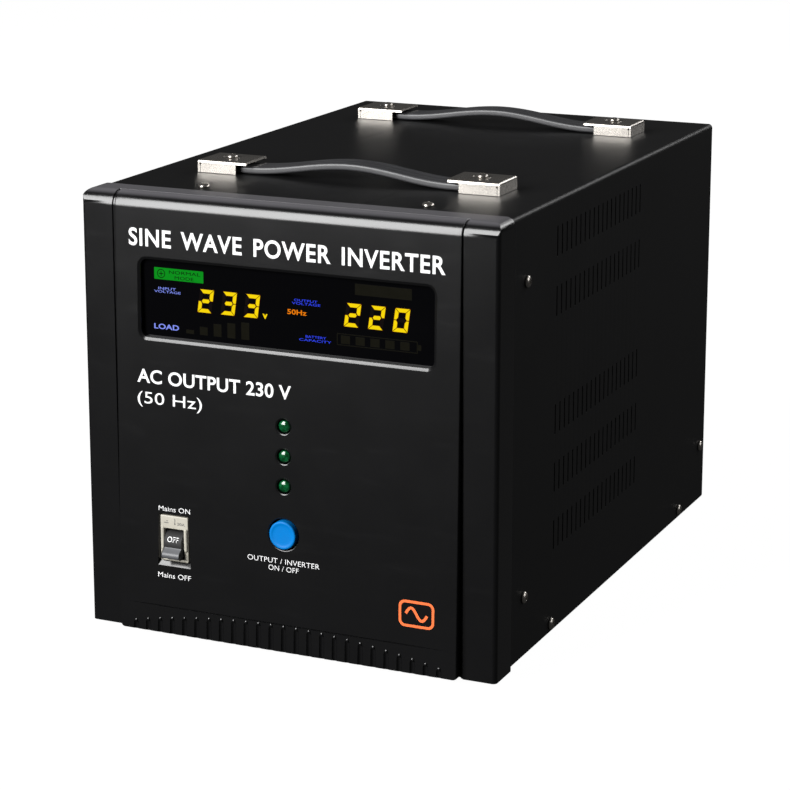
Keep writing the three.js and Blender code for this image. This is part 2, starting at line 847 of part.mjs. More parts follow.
// Rear panel: a sheet with side flanges and its openings.
const rearPanelBody = joined([
  block(-innerHalf, innerHalf, rearInner, rearOuter, plateBottom, plateTop),
  ...sideFlanges(rearOuter - flangeDepth, rearOuter),
]);
const throughRear = (radius, x, z, sides) => barY(radius, rearInner - 1, rearOuter + 1, x, z, sides);
const inletOpening = block(
  inletX - inletBodyWidth / 2 - gap,
  inletX + inletBodyWidth / 2 + gap,
  rearInner - 1,
  rearOuter + 1,
  inletZ - inletBodyHeight / 2 - gap,
  inletZ + inletBodyHeight / 2 + gap,
);
addPiece(
  "rear_panel",
  cut(rearPanelBody, [
    throughRear(fanBore, fanX, fanZ, 32),
    ...socketX.map((x) => throughRear(socketBodyRadius + gap, x, socketZ, 24)),
    inletOpening,
    throughRear(fuseRadius + gap, fuseX, inletZ),
    ...Object.values(postX).map((x) => throughRear(postCollarRadius + gap, x, postZ)),
    ...sideScrews.map(sideHole),
  ]),
  looks.blackPaint,
);

// ---------------------------------------------------------------- screws

function panHeadScrew(length) {
  const head = turned([
    [0, -length],
    [screwRadius, -length],
    [screwRadius, 0],
    [screwHeadRadius, 0],
    [screwHeadRadius, screwHeadHeight * 0.45],
    [screwHeadRadius * 0.72, screwHeadHeight * 0.9],
    [0, screwHeadHeight],
  ], 10);
  const arm = screwHeadRadius * 0.55;
  const half = crossWidth / 2;
  const low = screwHeadHeight - crossDepth;
  const high = screwHeadHeight + 1;
  return geometryOf(
    cut(head, [block(-arm, arm, -half, half, low, high), block(-half, half, -arm, arm, low, high)]),
  );
}

const shortScrew = panHeadScrew(screwLength);
const handleScrew = panHeadScrew(handleScrewLength);

function addScrew(name, shape, x, y, z, turnY = 0) {
  const screw = addPiece(name, shape, looks.nickel);
  screw.position.set(x, y, z);
  screw.rotation.y = turnY;
}

sideScrews.forEach(([y, z], i) => {
  addScrew("side_screw_right_" + (i + 1), shortScrew, coverHalf + gap, y, z, Math.PI / 2);
  addScrew("side_screw_left_" + (i + 1), shortScrew, -coverHalf - gap, y, z, -Math.PI / 2);
});
addScrew("top_screw_left", shortScrew, -topScrewX, topScrewY, coverTop + gap);
addScrew("top_screw_right", shortScrew, topScrewX, topScrewY, coverTop + gap);

// ---------------------------------------------------------------- handles

// Folded bracket about its screw: a top plate, a flange down each long side and one at the outer end.
// The outer end points along +X.
function bracket() {
  const outer = bracketLength / 2;
  const half = bracketDepth / 2;
  const low = 0;
  const high = bracketHeight;
  const under = high - bracketSheet;
  const flangeStart = bracketTongue - outer;
  const flangeEnd = outer - bracketSheet - bracketCornerGap;
  const endHalf = half - bracketSheet - bracketCornerGap;
  return cut(
    joined([
      block(-outer, outer, -half, half, under, high),
      block(flangeStart, flangeEnd, -half, bracketSheet - half, low, high),
      block(flangeStart, flangeEnd, half - bracketSheet, half, low, high),
      block(outer - bracketSheet, outer, -endHalf, endHalf, low, high),
    ]),
    [barZ(holeRadius, under - 1, high + 1, 0, 0)],
  );
}

const bracketShape = geometryOf(bracket());
const strapEnd = handleX + strapTail;
const strapFlat = handleX - bracketLength / 2;

// Height of the strap's underside above the case.
function strapLift(x) {
  if (Math.abs(x) >= strapFlat) return strapSeat;
  return strapSeat + (strapRise * (1 + Math.cos((Math.PI * x) / strapFlat))) / 2;
}

function strapBand(thickness, y0, y1) {
  const stations = [-strapEnd];
  for (let i = 0; i <= strapSteps; i++) stations.push(strapFlat * ((2 * i) / strapSteps - 1));
  stations.push(strapEnd);
  const under = stations.map((x) => [x, strapLift(x)]);
  const over = stations.map((x) => [x, strapLift(x) + thickness]).reverse();
  return prismY(outline([...under, ...over]), y0, y1);
}

function strap() {
  const half = strapWidth / 2;
  const pitch = (strapWidth - strapRibWidth) / (strapRibs - 1);
  const ribs = Array.from({ length: strapRibs }, (_, i) => {
    const y = i * pitch - half;
    return strapBand(strapThickness + strapRib, y, y + strapRibWidth);
  });
  const slots = [-1, 1].map((side) =>
    block(
      side * handleX - strapSlotLength / 2,
      side * handleX + strapSlotLength / 2,
      -strapSlotWidth / 2,
      strapSlotWidth / 2,
      -1,
      strapSeat + strapThickness + strapRib + 1,
    ),
  );
  return cut(joined([strapBand(strapThickness, -half, half), ...ribs]), slots);
}

const strapShape = geometryOf(strap());
for (const [place, y] of Object.entries(handles)) {
  const handle = new THREE.Group();
  handle.position.set(0, y, coverTop);
  unit.add(handle);
  addPiece("handle_strap_" + place, strapShape, looks.strapRubber, handle);
  for (const [hand, side] of [["left", -1], ["right", 1]]) {
    const end = addPiece("handle_bracket_" + place + "_" + hand, bracketShape, looks.nickel, handle);
    end.position.set(side * handleX, 0, gap);
    end.rotation.z = side > 0 ? 0 : Math.PI;
    const seat = coverTop + bracketHeight + 2 * gap;
    addScrew("handle_screw_" + place + "_" + hand, handleScrew, side * handleX, y, seat);
  }
}

// ---------------------------------------------------------------- feet

const footTop = footClearance + coverBottom - gap;
const footShape = geometryOf(
  turned([
    [0, 0],
    [footRadius - footTaper, 0],
    [footRadius, footTop],
    [0, footTop],
  ], 16),
);
for (const [place, y] of [["front", footY[0]], ["rear", footY[1]]]) {
  for (const [hand, side] of [["left", -1], ["right", 1]]) {
    const foot = addPiece("foot_" + place + "_" + hand, footShape, looks.footRubber);
    foot.position.set(side * footX, y, -footClearance);
  }
}

// ---------------------------------------------------------------- fan

const strutReach = fanBore + fanWall / 2;
const strutHalf = fanStrutWidth / 2;
const motorBack = fanFront + fanMotorDepth;
const fanFrame = block(
  fanX - fanSize / 2,
  fanX + fanSize / 2,
  fanFront,
  fanBack,
  fanZ - fanSize / 2,
  fanZ + fanSize / 2,
);
const fanStruts = joined([
  barY(fanHubRadius, fanFront, motorBack, fanX, fanZ, 20),
  block(fanX - strutReach, fanX + strutReach, fanFront, motorBack, fanZ - strutHalf, fanZ + strutHalf),
  block(fanX - strutHalf, fanX + strutHalf, fanFront, motorBack, fanZ - strutReach, fanZ + strutReach),
]);
const fanHole = barY(fanBore, fanFront - 1, fanBack + 1, fanX, fanZ, 32);
addPiece("fan_frame", fanFrame.subtract(fanHole).add(fanStruts), looks.darkPlastic);

// Rotor about its own centre: a cup with blades set at a pitch.
const rotorDepth = fanDepth - fanMotorDepth - rotorFrontGap - rotorBackGap;
const bladeRoot = fanHubRadius * 0.8;
const bladeLength = fanBore - fanTipGap - bladeRoot;
const blades = Array.from({ length: fanBlades }, (_, i) => {
  const blade = new THREE.BoxGeometry(bladeLength, rotorDepth * 0.9, fanBladeThickness);
  blade.rotateX(THREE.MathUtils.degToRad(fanBladePitch)).translate(bladeRoot + bladeLength / 2, 0, 0);
  return solid(blade.rotateY((i * 2 * Math.PI) / fanBlades));
});
const rotor = addPiece(
  "fan_rotor",
  joined([barY(fanHubRadius, -rotorDepth / 2, rotorDepth / 2, 0, 0, 20), ...blades]),
  looks.darkPlastic,
);
rotor.position.set(fanX, motorBack + rotorFrontGap + rotorDepth / 2, fanZ);

function ring(radius) {
  const half = guardBar / 2;
  return turned([
    [radius - half, -half],
    [radius + half, -half],
    [radius + half, half],
    [radius - half, half],
    [radius - half, -half],
  ], 20);
}

const guardOuter = fanBore - guardBar;
const guardRings = Array.from({ length: guardRingCount }, (_, i) => guardOuter - i * guardRingPitch);
const guardArm = new THREE.BoxGeometry(2 * fanBore + 4 * fanWall, guardBar, guardBar);
const guard = addPiece(
  "fan_guard",
  joined([
    ...guardRings.map(ring),
    solid(guardArm.clone().rotateZ(Math.PI / 4)),
    solid(guardArm.clone().rotateZ(-Math.PI / 4)),
  ]),
  looks.nickel,
);
guard.rotation.x = Math.PI / 2;
guard.position.set(fanX, rearOuter + gap + guardBar / 2, fanZ);

// ---------------------------------------------------------------- sockets, inlet and fuse

const plateOut = rearOuter + gap;
function outputSocket(x) {
  const half = socketFace / 2;
  const mouth = plateOut + socketFaceThickness;
  const face = block(x - half, x + half, plateOut, mouth, socketZ - half, socketZ + half);
  const body = barY(socketBodyRadius, rearInner - socketBodyDepth, plateOut + 1, x, socketZ, 24);
  const well = barY(socketWellRadius, mouth - socketWellDepth, mouth + 1, x, socketZ, 24);
  const floorY = mouth - socketWellDepth;
  const pins = [-1, 1].map((side) =>
    barY(socketPinRadius, floorY - socketPinDepth, mouth, x + (side * socketPinSpacing) / 2, socketZ, 8),
  );
  return cut(face.add(body), [well, ...pins]);
}
addPiece("output_socket_left", outputSocket(socketX[0]), looks.darkPlastic);
addPiece("output_socket_right", outputSocket(socketX[1]), looks.darkPlastic);

const inletFace = block(
  inletX - inletWidth / 2,
  inletX + inletWidth / 2,
  plateOut,
  plateOut + inletFaceThickness,
  inletZ - inletHeight / 2,
  inletZ + inletHeight / 2,
);
const inletBody = block(
  inletX - inletBodyWidth / 2,
  inletX + inletBodyWidth / 2,
  rearInner - inletBodyDepth,
  plateOut + 1,
  inletZ - inletBodyHeight / 2,
  inletZ + inletBodyHeight / 2,
);
const inletFloor = plateOut + inletFaceThickness - inletRecessDepth;
const inletRecess = block(
  inletX - inletRecessWidth / 2,
  inletX + inletRecessWidth / 2,
  inletFloor,
  plateOut + inletFaceThickness + 1,
  inletZ - inletRecessHeight / 2,
  inletZ + inletRecessHeight / 2,
);
const inletPins = [[-7, -4], [0, 0], [7, -4]].map(([dx, dz]) =>
  block(inletX + dx - 1, inletX + dx + 1, inletFloor - 1, plateOut - 2, inletZ + dz, inletZ + dz + 4),
);
addPiece(
  "mains_inlet",
  joined([inletFace.add(inletBody).subtract(inletRecess), ...inletPins]),
  looks.darkPlastic,
);

addPiece(
  "fuse_holder",
  joined([
    barY(fuseRadius, rearInner - fuseLength, plateOut + 1, fuseX, inletZ),
    barY(fuseCapRadius, plateOut, plateOut + fuseCapDepth, fuseX, inletZ),
  ]),
  looks.darkPlastic,
);

// ---------------------------------------------------------------- battery posts

for (const [pole, x] of Object.entries(postX)) {
  const boreRadius = studRadius + gap;
  const collar = barY(postCollarRadius, rearInner - 4, plateOut + 1, x, postZ);
  const base = barY(postBaseRadius, plateOut, postBack, x, postZ, 20);
  const bore = barY(boreRadius, rearInner - 5, postBack + 1, x, postZ);
  const look = pole === "positive" ? looks.redPlastic : looks.darkPlastic;
  addPiece("battery_insulator_" + pole, base.add(collar).subtract(bore), look);

  const stud = barY(studRadius, rearInner - 14, studEnd, x, postZ);
  const headY = rearInner - 4 - gap;
  const head = barY(studNutRadius, headY - studNutDepth, headY, x, postZ, 6);
  addPiece("battery_stud_" + pole, stud.add(head), looks.brass);
}

// ---------------------------------------------------------------- inside

const floor = trayTop + gap;
const ringY = fanFront - ringMargin - ringOuterRadius;
const coil = turned([
  [ringInnerRadius + 10, 0],
  [ringOuterRadius - 10, 0],
  [ringOuterRadius, 10],
  [ringOuterRadius, ringHeight - 10],
  [ringOuterRadius - 10, ringHeight],
  [ringInnerRadius + 10, ringHeight],
  [ringInnerRadius, ringHeight - 10],
  [ringInnerRadius, 10],
  [ringInnerRadius + 10, 0],
], 28);
const transformer = addPiece("transformer", coil, looks.winding);
transformer.position.set(0, ringY, floor);

const clampZ = floor + ringHeight + gap;
const clamp = barZ(clampRadius, 0, clampThickness, 0, 0, 24).subtract(
  barZ(boltRadius + gap, -1, clampThickness + 1, 0, 0),
);
addPiece("transformer_plate", clamp, looks.galvanised).position.set(0, ringY, clampZ);

const boltTop = clampZ + clampThickness + gap;
const bolt = barZ(boltRadius, floor, boltTop + 1, 0, 0).add(barZ(8.5, boltTop, boltTop + 6.5, 0, 0, 6));
addPiece("transformer_bolt", bolt, looks.galvanised).position.set(0, ringY, 0);

const heatsinkY = coverFront + heatsinkSetBack;
const finPitch = heatsinkWidth / heatsinkFins;
const finGaps = Array.from({ length: heatsinkFins - 1 }, (_, i) => {
  const x = (i + 1) * finPitch - heatsinkWidth / 2;
  return block(
    x - finPitch * 0.32,
    x + finPitch * 0.32,
    heatsinkY - 1,
    heatsinkY + heatsinkLength + 1,
    floor - 1,
    floor + heatsinkHeight - heatsinkBase,
  );
});
const heatsinkTop = floor + heatsinkHeight;
const heatsinkBlock = block(
  -heatsinkWidth / 2,
  heatsinkWidth / 2,
  heatsinkY,
  heatsinkY + heatsinkLength,
  floor,
  heatsinkTop,
);
addPiece("heatsink", cut(heatsinkBlock, finGaps), looks.aluminium);

const powerBoardTop = heatsinkTop + gap + boardThickness;
addPiece(
  "power_board",
  block(
    -heatsinkWidth / 2 - 5,
    heatsinkWidth / 2 + 5,
    heatsinkY - 4,
    heatsinkY + heatsinkLength + 4,
    heatsinkTop + gap,
    powerBoardTop,
  ),
  looks.circuitBoard,
);
const capacitorY = heatsinkY + heatsinkLength / 2;
for (const [hand, side] of [["left", -1], ["right", 1]]) {
  const can = barZ(capacitorRadius, 0, capacitorHeight, 0, 0, 16);
  const x = side * capacitorRadius * 1.4;
  addPiece("capacitor_" + hand, can, looks.capacitorSleeve).position.set(x, capacitorY, powerBoardTop + gap);
}

const inverter = new THREE.Group();
inverter.add(unit);

export default inverter;
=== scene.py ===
"""The looks of a black power inverter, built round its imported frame.

Shapes are drawn in millimetres and turned into metres when a piece is added.
X is to the right seen from the front, Y to the back and Z up.
"""

import json
import math
import random

import bmesh
import bpy
from mathutils import Matrix, Vector
from mathutils.geometry import tessellate_polygon


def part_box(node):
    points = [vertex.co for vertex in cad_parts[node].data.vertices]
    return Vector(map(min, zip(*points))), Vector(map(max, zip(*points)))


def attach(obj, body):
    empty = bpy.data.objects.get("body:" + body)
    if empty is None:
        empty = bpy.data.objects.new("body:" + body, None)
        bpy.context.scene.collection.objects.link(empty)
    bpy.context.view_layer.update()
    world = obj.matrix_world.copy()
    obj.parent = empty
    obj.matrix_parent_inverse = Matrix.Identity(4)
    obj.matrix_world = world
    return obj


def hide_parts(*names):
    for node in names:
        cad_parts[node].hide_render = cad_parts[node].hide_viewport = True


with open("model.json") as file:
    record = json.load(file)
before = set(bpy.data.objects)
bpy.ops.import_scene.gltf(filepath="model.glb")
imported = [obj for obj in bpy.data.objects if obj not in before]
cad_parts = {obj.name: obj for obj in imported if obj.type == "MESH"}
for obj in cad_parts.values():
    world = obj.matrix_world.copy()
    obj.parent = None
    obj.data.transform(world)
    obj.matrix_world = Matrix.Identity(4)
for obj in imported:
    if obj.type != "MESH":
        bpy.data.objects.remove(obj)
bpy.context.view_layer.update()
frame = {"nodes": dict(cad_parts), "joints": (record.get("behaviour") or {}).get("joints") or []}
scene = bpy.context.scene
scene.view_settings.view_transform = "Standard"

# ---------------------------------------------------------------- camera
# The unit is looked at from its front right, a little above it, through a long lens.
# The shift lifts the unit to the middle of the frame, and nothing is out of focus.

camera_place = (0.7198, -1.6532, 0.6117)
camera_turn = 24.29
camera_tilt = 13.03

camera = bpy.data.objects.new("camera", bpy.data.cameras.new("camera"))
camera.data.sensor_width = 36
camera.data.lens = 116.0
camera.data.shift_y = -0.12
camera.location = camera_place
camera.rotation_euler = (math.radians(90 - camera_tilt), 0, math.radians(camera_turn))
scene.collection.objects.link(camera)
scene.camera = camera

# ---------------------------------------------------------------- bezel
# The frame round the front: a moulded ring with a strip down each side, rolled over at the top
# and stepped back in the middle for the centre panel. Satin black plastic with a fine spark-eroded
# grain, screwed to the front plate from behind.


class Field:
    """A shader value that varies over a surface. Arithmetic on it adds Math nodes to its finish."""

    def __init__(self, finish, link):
        self.finish = finish
        self.link = link

    def math(self, operation, first, second=0.0):
        return self.finish.node("Math", {"operation": operation}, {0: first, 1: second})

    def __add__(self, other):
        return self.math("ADD", self, other)

    def __radd__(self, other):
        return self.math("ADD", other, self)

    def __sub__(self, other):
        return self.math("SUBTRACT", self, other)

    def __rsub__(self, other):
        return self.math("SUBTRACT", other, self)

    def __mul__(self, other):
        return self.math("MULTIPLY", self, other)

    def __rmul__(self, other):
        return self.math("MULTIPLY", other, self)

    def between(self, low, high):
        """0 below low, 1 above high, and a smooth slope between them."""
        settings = {"interpolation_type": "SMOOTHSTEP"}
        return self.finish.node("MapRange", settings, {"Value": self, "From Min": low, "From Max": high})


class Finish:
    """A material made of nodes. place is the spot on the object in millimetres."""

    def __init__(self, name, slot):
        self.slot = slot
        self.material = bpy.data.materials.new(name)
        self.material.use_nodes = True
        self.tree = self.material.node_tree
        self.tree.nodes.clear()
        metres = self.node("TexCoord", output="Object")
        self.place = self.node("VectorMath", {"operation": "SCALE"}, {0: metres, "Scale": 1000})

    def node(self, kind, settings=None, sockets=None, output=0):
        made = self.tree.nodes.new("ShaderNode" + kind)
        for name, value in (settings or {}).items():
            setattr(made, name, value)
        for name, value in (sockets or {}).items():
            if isinstance(value, Field):
                self.tree.links.new(value.link, made.inputs[name])
            else:
                made.inputs[name].default_value = value
        return Field(self, made.outputs[output])

    def noise(self, size, detail=2.0, stretch=(1, 1, 1)):
        """Cloudy noise from 0 to 1 with features of that size in millimetres."""
        spot = self.node("VectorMath", {"operation": "MULTIPLY"}, {0: self.place, 1: stretch})
        return self.node("TexNoise", {}, {"Vector": spot, "Scale": 1 / size, "Detail": detail})

    def axis(self, name):
        return self.node("SeparateXYZ", {}, {0: self.place}, output=name)

    def blend(self, first, second, factor):
        return self.node("Mix", {"data_type": "RGBA"}, {0: factor, 6: first, 7: second}, output=2)

    def relief(self, height, depth):
        """A normal that raises the surface by height, 0 to 1, times depth in millimetres."""
        return self.node("Bump", {}, {"Height": height, "Distance": depth / 1000, "Strength": 1.0})

    def surface(self, color, roughness, metallic=0.0, normal=None, **fixed):
        sockets = {"Base Color": color, "Roughness": roughness, "Metallic": metallic}
        if normal:
            sockets["Normal"] = normal
        sockets.update({name.replace("_", " "): value for name, value in fixed.items()})
        shader = self.node("BsdfPrincipled", {}, sockets)
        self.close(shader)
        return self

    def close(self, shader):
        output = self.tree.nodes.new("ShaderNodeOutputMaterial")
        self.tree.links.new(shader.link, output.inputs["Surface"])


def span(node):
    """Lowest and highest corner of a CAD node, in millimetres."""
    low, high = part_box(node)
    return low * 1000, high * 1000


def rectangle(width, height, radius, across=0.0, up=0.0, steps=8):
    """A rectangle with round corners, anticlockwise."""
    a = width / 2 - radius
    b = height / 2 - radius
    points = []
    for corner, (u, v) in enumerate([(a, b), (-a, b), (-a, -b), (a, -b)]):
        for step in range(steps + 1):
            angle = math.radians(90 * (corner + step / steps))
            points.append((across + u + radius * math.cos(angle), up + v + radius * math.sin(angle)))
    return points


def circle(radius, across=0.0, up=0.0, sides=48):
    turns = [2 * math.pi * side / sides for side in range(sides)]
    return [(across + radius * math.cos(turn), up + radius * math.sin(turn)) for turn in turns]


def offset(loop, distance):
    """An outline moved to its left, which is into the material for every edge of a plate."""
    moved_loop = []
    for before, here, after in zip(loop[-1:] + loop[:-1], loop, loop[1:] + loop[:1]):
        first = (Vector(here) - Vector(before)).normalized()
        second = (Vector(after) - Vector(here)).normalized()
        left = Vector((-first.y, first.x)) + Vector((-second.y, second.x))
        left = left.normalized() if left.length > 1e-6 else Vector((-first.y, first.x))
        reach = distance / max(0.5, left.dot(Vector((-first.y, first.x))))
        moved_loop.append((here[0] + left.x * reach, here[1] + left.y * reach))
    return moved_loop


def rounding(radius, depth, back=0.0, steps=3):
    """Steps of (into the material, depth) that round an edge at the front, and maybe at the back."""
    turns = [math.pi / 2 * step / steps for step in range(steps + 1)]
    front = [(radius * (1 - math.sin(turn)), radius * (1 - math.cos(turn))) for turn in turns]
    if not back:
        return front + [(0, depth)]
    rear = [(back * (1 - math.cos(turn)), depth - back * (1 - math.sin(turn))) for turn in turns]
    return front + rear


def rim(loop, steps):
    """Rings round one edge of a plate, from its front to its back."""
    return [[(u, v, depth) for u, v in offset(loop, inward)] for inward, depth in steps]


def plate(edges):
    """A sheet from the rings round its outside and then round each hole, as (across, up, depth)."""
    shape = bmesh.new()
    rows = [[[shape.verts.new(point) for point in ring] for ring in rings] for rings in edges]
    for loops in rows:
        for upper, lower in zip(loops, loops[1:]):
            for i in range(len(upper)):
                shape.faces.new((upper[i - 1], upper[i], lower[i], lower[i - 1]))
    for side in (0, -1):
        corners = [corner for loops in rows for corner in loops[side]]
        flat = [[Vector((point[0], point[1], 0)) for point in rings[side]] for rings in edges]
        for triangle in tessellate_polygon(flat):
            shape.faces.new([corners[i] for i in triangle])
    bmesh.ops.recalc_face_normals(shape, faces=shape.faces)
    return shape


def moved(shape, mapping):
    """Every corner of a shape put where the mapping says."""
    for corner in shape.verts:
        corner.co = mapping(corner.co)
    bmesh.ops.recalc_face_normals(shape, faces=shape.faces)
    return shape


def shifted(shape, x=0.0, y=0.0, z=0.0, matrix=Matrix()):
    bmesh.ops.transform(shape, matrix=Matrix.Translation((x, y, z)) @ matrix, verts=shape.verts)
    return shape


def turning(axis, degrees):
    return Matrix.Rotation(math.radians(degrees), 4, axis)


toward_front = turning("X", 90)
toward_back = turning("X", -90)


def prism(outline, low, high, along="Y"):
    """An outline drawn across the other two axes, in their order, and pushed from low to high."""
    places = {
        "X": lambda u, v, w: (w, u, v),
        "Y": lambda u, v, w: (u, w, v),
        "Z": lambda u, v, w: (u, v, w),
    }
    shape = bmesh.new()
    rows = [[shape.verts.new(places[along](u, v, w)) for u, v in outline] for w in (low, high)]
    for i in range(len(outline)):
        shape.faces.new((rows[0][i - 1], rows[0][i], rows[1][i], rows[1][i - 1]))
    shape.faces.new(rows[0])
    shape.faces.new(rows[1])
    bmesh.ops.recalc_face_normals(shape, faces=shape.faces)
    return shape


def block(low, high):
    outline = [(low[0], low[1]), (high[0], low[1]), (high[0], high[1]), (low[0], high[1])]
    return prism(outline, low[2], high[2], "Z")


def together(*shapes):
    """Several closed shapes as one piece."""
    whole = bmesh.new()
    for shape in shapes:
        mesh = bpy.data.meshes.new("part")
        shape.to_mesh(mesh)
        shape.free()
        whole.from_mesh(mesh)
        bpy.data.meshes.remove(mesh)
    return whole


def carved(whole, tool, how="DIFFERENCE"):
    """A shape cut by another, or what the two share."""
    blanks = []
    for shape in (whole, tool):
        mesh = bpy.data.meshes.new("blank")
        shape.to_mesh(mesh)
        shape.free()
        blanks.append(bpy.data.objects.new("blank", mesh))
        scene.collection.objects.link(blanks[-1])
    cut = blanks[0].modifiers.new("cut", "BOOLEAN")
    cut.object = blanks[1]
    cut.operation = how
    cut.solver = "EXACT"
    result = bmesh.new()
    result.from_object(blanks[0], bpy.context.evaluated_depsgraph_get())
    for blank in blanks:
        bpy.data.meshes.remove(blank.data)
    bmesh.ops.remove_doubles(result, verts=result.verts, dist=1e-4)
    bmesh.ops.dissolve_degenerate(result, edges=result.edges, dist=1e-4)
    return result


def softened(shape, radius, steps=2, above=35.0):
    """A shape with its sharp edges rounded."""
    sharp = []
    for edge in shape.edges:
        if len(edge.link_faces) == 2 and edge.calc_face_angle(0) > math.radians(above):
            sharp.append(edge)
    bmesh.ops.bevel(
        shape, geom=sharp, offset=radius, segments=steps, profile=0.5, affect="EDGES", clamp_overlap=True
    )
    return shape


def add_piece(name, shape, finish, body="housing", replaced=(), smooth=40.0):
    """A finished piece: its mesh in metres, its material, its body and the CAD nodes it stands for."""
    bmesh.ops.scale(shape, vec=(0.001, 0.001, 0.001), verts=shape.verts)
    for face in shape.faces:
        face.smooth = True
    mesh = bpy.data.meshes.new(name)
    shape.to_mesh(mesh)
    shape.free()
    mesh.set_sharp_from_angle(angle=math.radians(smooth))
    mesh.materials.append(finish.material)
    made = bpy.data.objects.new(name, mesh)
    scene.collection.objects.link(made)
    made.modifiers.new("weighted", "WEIGHTED_NORMAL").keep_sharp = True
    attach(made, body)
    if replaced:
        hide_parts(*replaced)
    return made


bezel_low, bezel_high = span("front_bezel")
panel_low, panel_high = span("front_panel")
front = bezel_low.y
ground_gap = bezel_low.z
half_face = bezel_high.x
corner_radius = 6.0
side_round = 3.0
top_round = 10.0
groove = 1.9
ledge = 2.8
face_top = bezel_high.z - top_round
step_deep = 1.0
seat_half = panel_high.x + 0.4
bay_half = 112.0
bay_foot, bay_head = 10.0, 4.0


def moulding_finish():
    finish = Finish("black_moulding", "black_moulding")
    grain = finish.noise(0.45, detail=3)
    pores = finish.noise(1.7, detail=2)
    mottle = finish.noise(38, detail=3)
    rub = finish.noise(9, detail=4, stretch=(0.2, 1, 1)).between(0.55, 0.8)
    plain = finish.blend((0.0028, 0.0028, 0.0030, 1), (0.0048, 0.0048, 0.0051, 1), grain * 0.7 + mottle * 0.3)
    # Painted sheen: the top of the moulding is painted lighter grey, fading out about 3 mm down the rolled
    # edge, in place of the grey reflection its top shows. It is also made rougher there.
    crown = bezel_high.z - finish.axis("Z")
    painted_top_sheen = 1 - crown.between(0.1, 3.2)
    color = finish.blend(plain, (0.105, 0.102, 0.110, 1), painted_top_sheen * (0.85 + 0.15 * mottle))
    roughness = 0.17 + 0.04 * grain + 0.04 * mottle + 0.03 * rub + 0.2 * painted_top_sheen
    relief = finish.relief(grain * 0.7 + pores * 0.3, 0.006)
    return finish.surface(color, roughness, normal=relief, Specular_IOR_Level=0.5)


black_moulding = moulding_finish()


def quarter(across, up, radius, start, end, steps=16):
    """Points of an arc, in degrees."""
    turns = [math.radians(start + (end - start) * step / steps) for step in range(steps + 1)]
    return [(across + radius * math.cos(turn), up + radius * math.sin(turn)) for turn in turns]


def seat_outline(deep):
    """Section of what is cut away to leave a ledge that deep under the face and the rolled top."""
    points = [(front - 9, ground_gap - 9), (front + deep, ground_gap - 9)]
    points += quarter(front + top_round, face_top, top_round - deep, 180, 90, 10)
    back = front + top_round + 0.3
    return points + [(back, bezel_high.z - deep), (back, bezel_high.z + 9), (front - 9, bezel_high.z + 9)]


def bezel_shape():
    depth = bezel_high.y
    corner = half_face - corner_radius
    crown = bezel_high.z - corner_radius
    face = [(-half_face, ground_gap), (half_face, ground_gap)]
    face += quarter(corner, crown, corner_radius, 0, 90, 8)
    face += quarter(-corner, crown, corner_radius, 90, 180, 8)
    section = [(front, ground_gap), (depth, ground_gap), (depth, bezel_high.z)]
    section += quarter(front + top_round, face_top, top_round, 90, 180)
    flank = half_face - side_round
    plan = [(half_face, depth), (-half_face, depth)]
    plan += quarter(-flank, front + side_round, side_round, 180, 270, 6)
    plan += quarter(flank, front + side_round, side_round, 270, 360, 6)
    body = prism(face, front, depth)
    body = carved(body, prism(section, -half_face - 1, half_face + 1, "X"), "INTERSECT")
    body = carved(body, prism(plan, ground_gap - 1, bezel_high.z + 1, "Z"), "INTERSECT")
    body = carved(body, prism(seat_outline(ledge), -seat_half, seat_half, "X"))
    body = carved(body, prism(seat_outline(step_deep), -panel_high.x - groove, panel_high.x + groove, "X"))
    bay = block((-bay_half, front - 1, ground_gap + bay_foot), (bay_half, depth + 1, face_top - bay_head))
    body = carved(body, bay)
    behind = block((-seat_half, front + 5.3, ground_gap + 2.5), (seat_half, depth + 1, face_top - bay_head))
    return softened(carved(body, behind), 0.55, steps=3)


add_piece("bezel_moulding", bezel_shape(), black_moulding, replaced=["front_bezel"])

# ---------------------------------------------------------------- centre panel
# One moulding that drops between the strips, rolled over at the top with them and leaning out
# towards its foot, which is fluted for grip. It has the display window, three lamp holes, the
# button hole and the breaker's cut-out, and snaps to the bezel's ledge.

lean = bezel_low.y - panel_low.y
panel_half = panel_high.x
foot_round = 3.0
roll = math.pi / 2 * top_round
window_low, window_high = span("display_window")
window_middle = (window_low.z + window_high.z) / 2
window_size = (210.8, 52.5)
lens_low, lens_high = span("mains_lens")
lamp_nodes = ["mains_lens", "inverter_lens", "fault_lens"]
lamp_heights = [(span(node)[0].z + span(node)[1].z) / 2 for node in lamp_nodes]
button_low, button_high = span("power_button")
button_middle = (button_low.z + button_high.z) / 2
breaker_low, breaker_high = span("breaker_body")
breaker_middle = (breaker_low.x + breaker_high.x) / 2
nose_size = (20.9, 31.6)
nose_bottom = ground_gap + 51.7
crease_height = ground_gap + 19.5


def face_at(height):
    """Depth of the panel's face at a height."""
    return front - lean * max(0.0, face_top - height) / (face_top - ground_gap)


def on_panel(point):
    """A flat panel's (across, up, depth) as a place on the leaning and rolled panel."""
    if point.y <= face_top:
        thick = point.z / 2.5
        return Vector((point.x, face_at(point.y) * (1 - thick) + (front + 2.5) * thick, point.y))
    turn = (point.y - face_top) / top_round
    reach = top_round - point.z
    y = front + top_round - reach * math.cos(turn)
    return Vector((point.x, y, face_top + reach * math.sin(turn)))


def chamfer(width, depth, thickness):
    """Steps for a sloped lip with its two edges taken off."""
    return [(width + 0.15, 0), (width - 0.1, 0.12), (0.15, depth - 0.2), (0, depth), (0, thickness)]


def panel_outline():
    top = face_top + roll
    points = [(panel_half, top), (-panel_half, top)]
    points += quarter(-panel_half + foot_round, ground_gap + foot_round, foot_round, 180, 270, 5)
    points += quarter(panel_half - foot_round, ground_gap + foot_round, foot_round, 270, 360, 5)
    return points


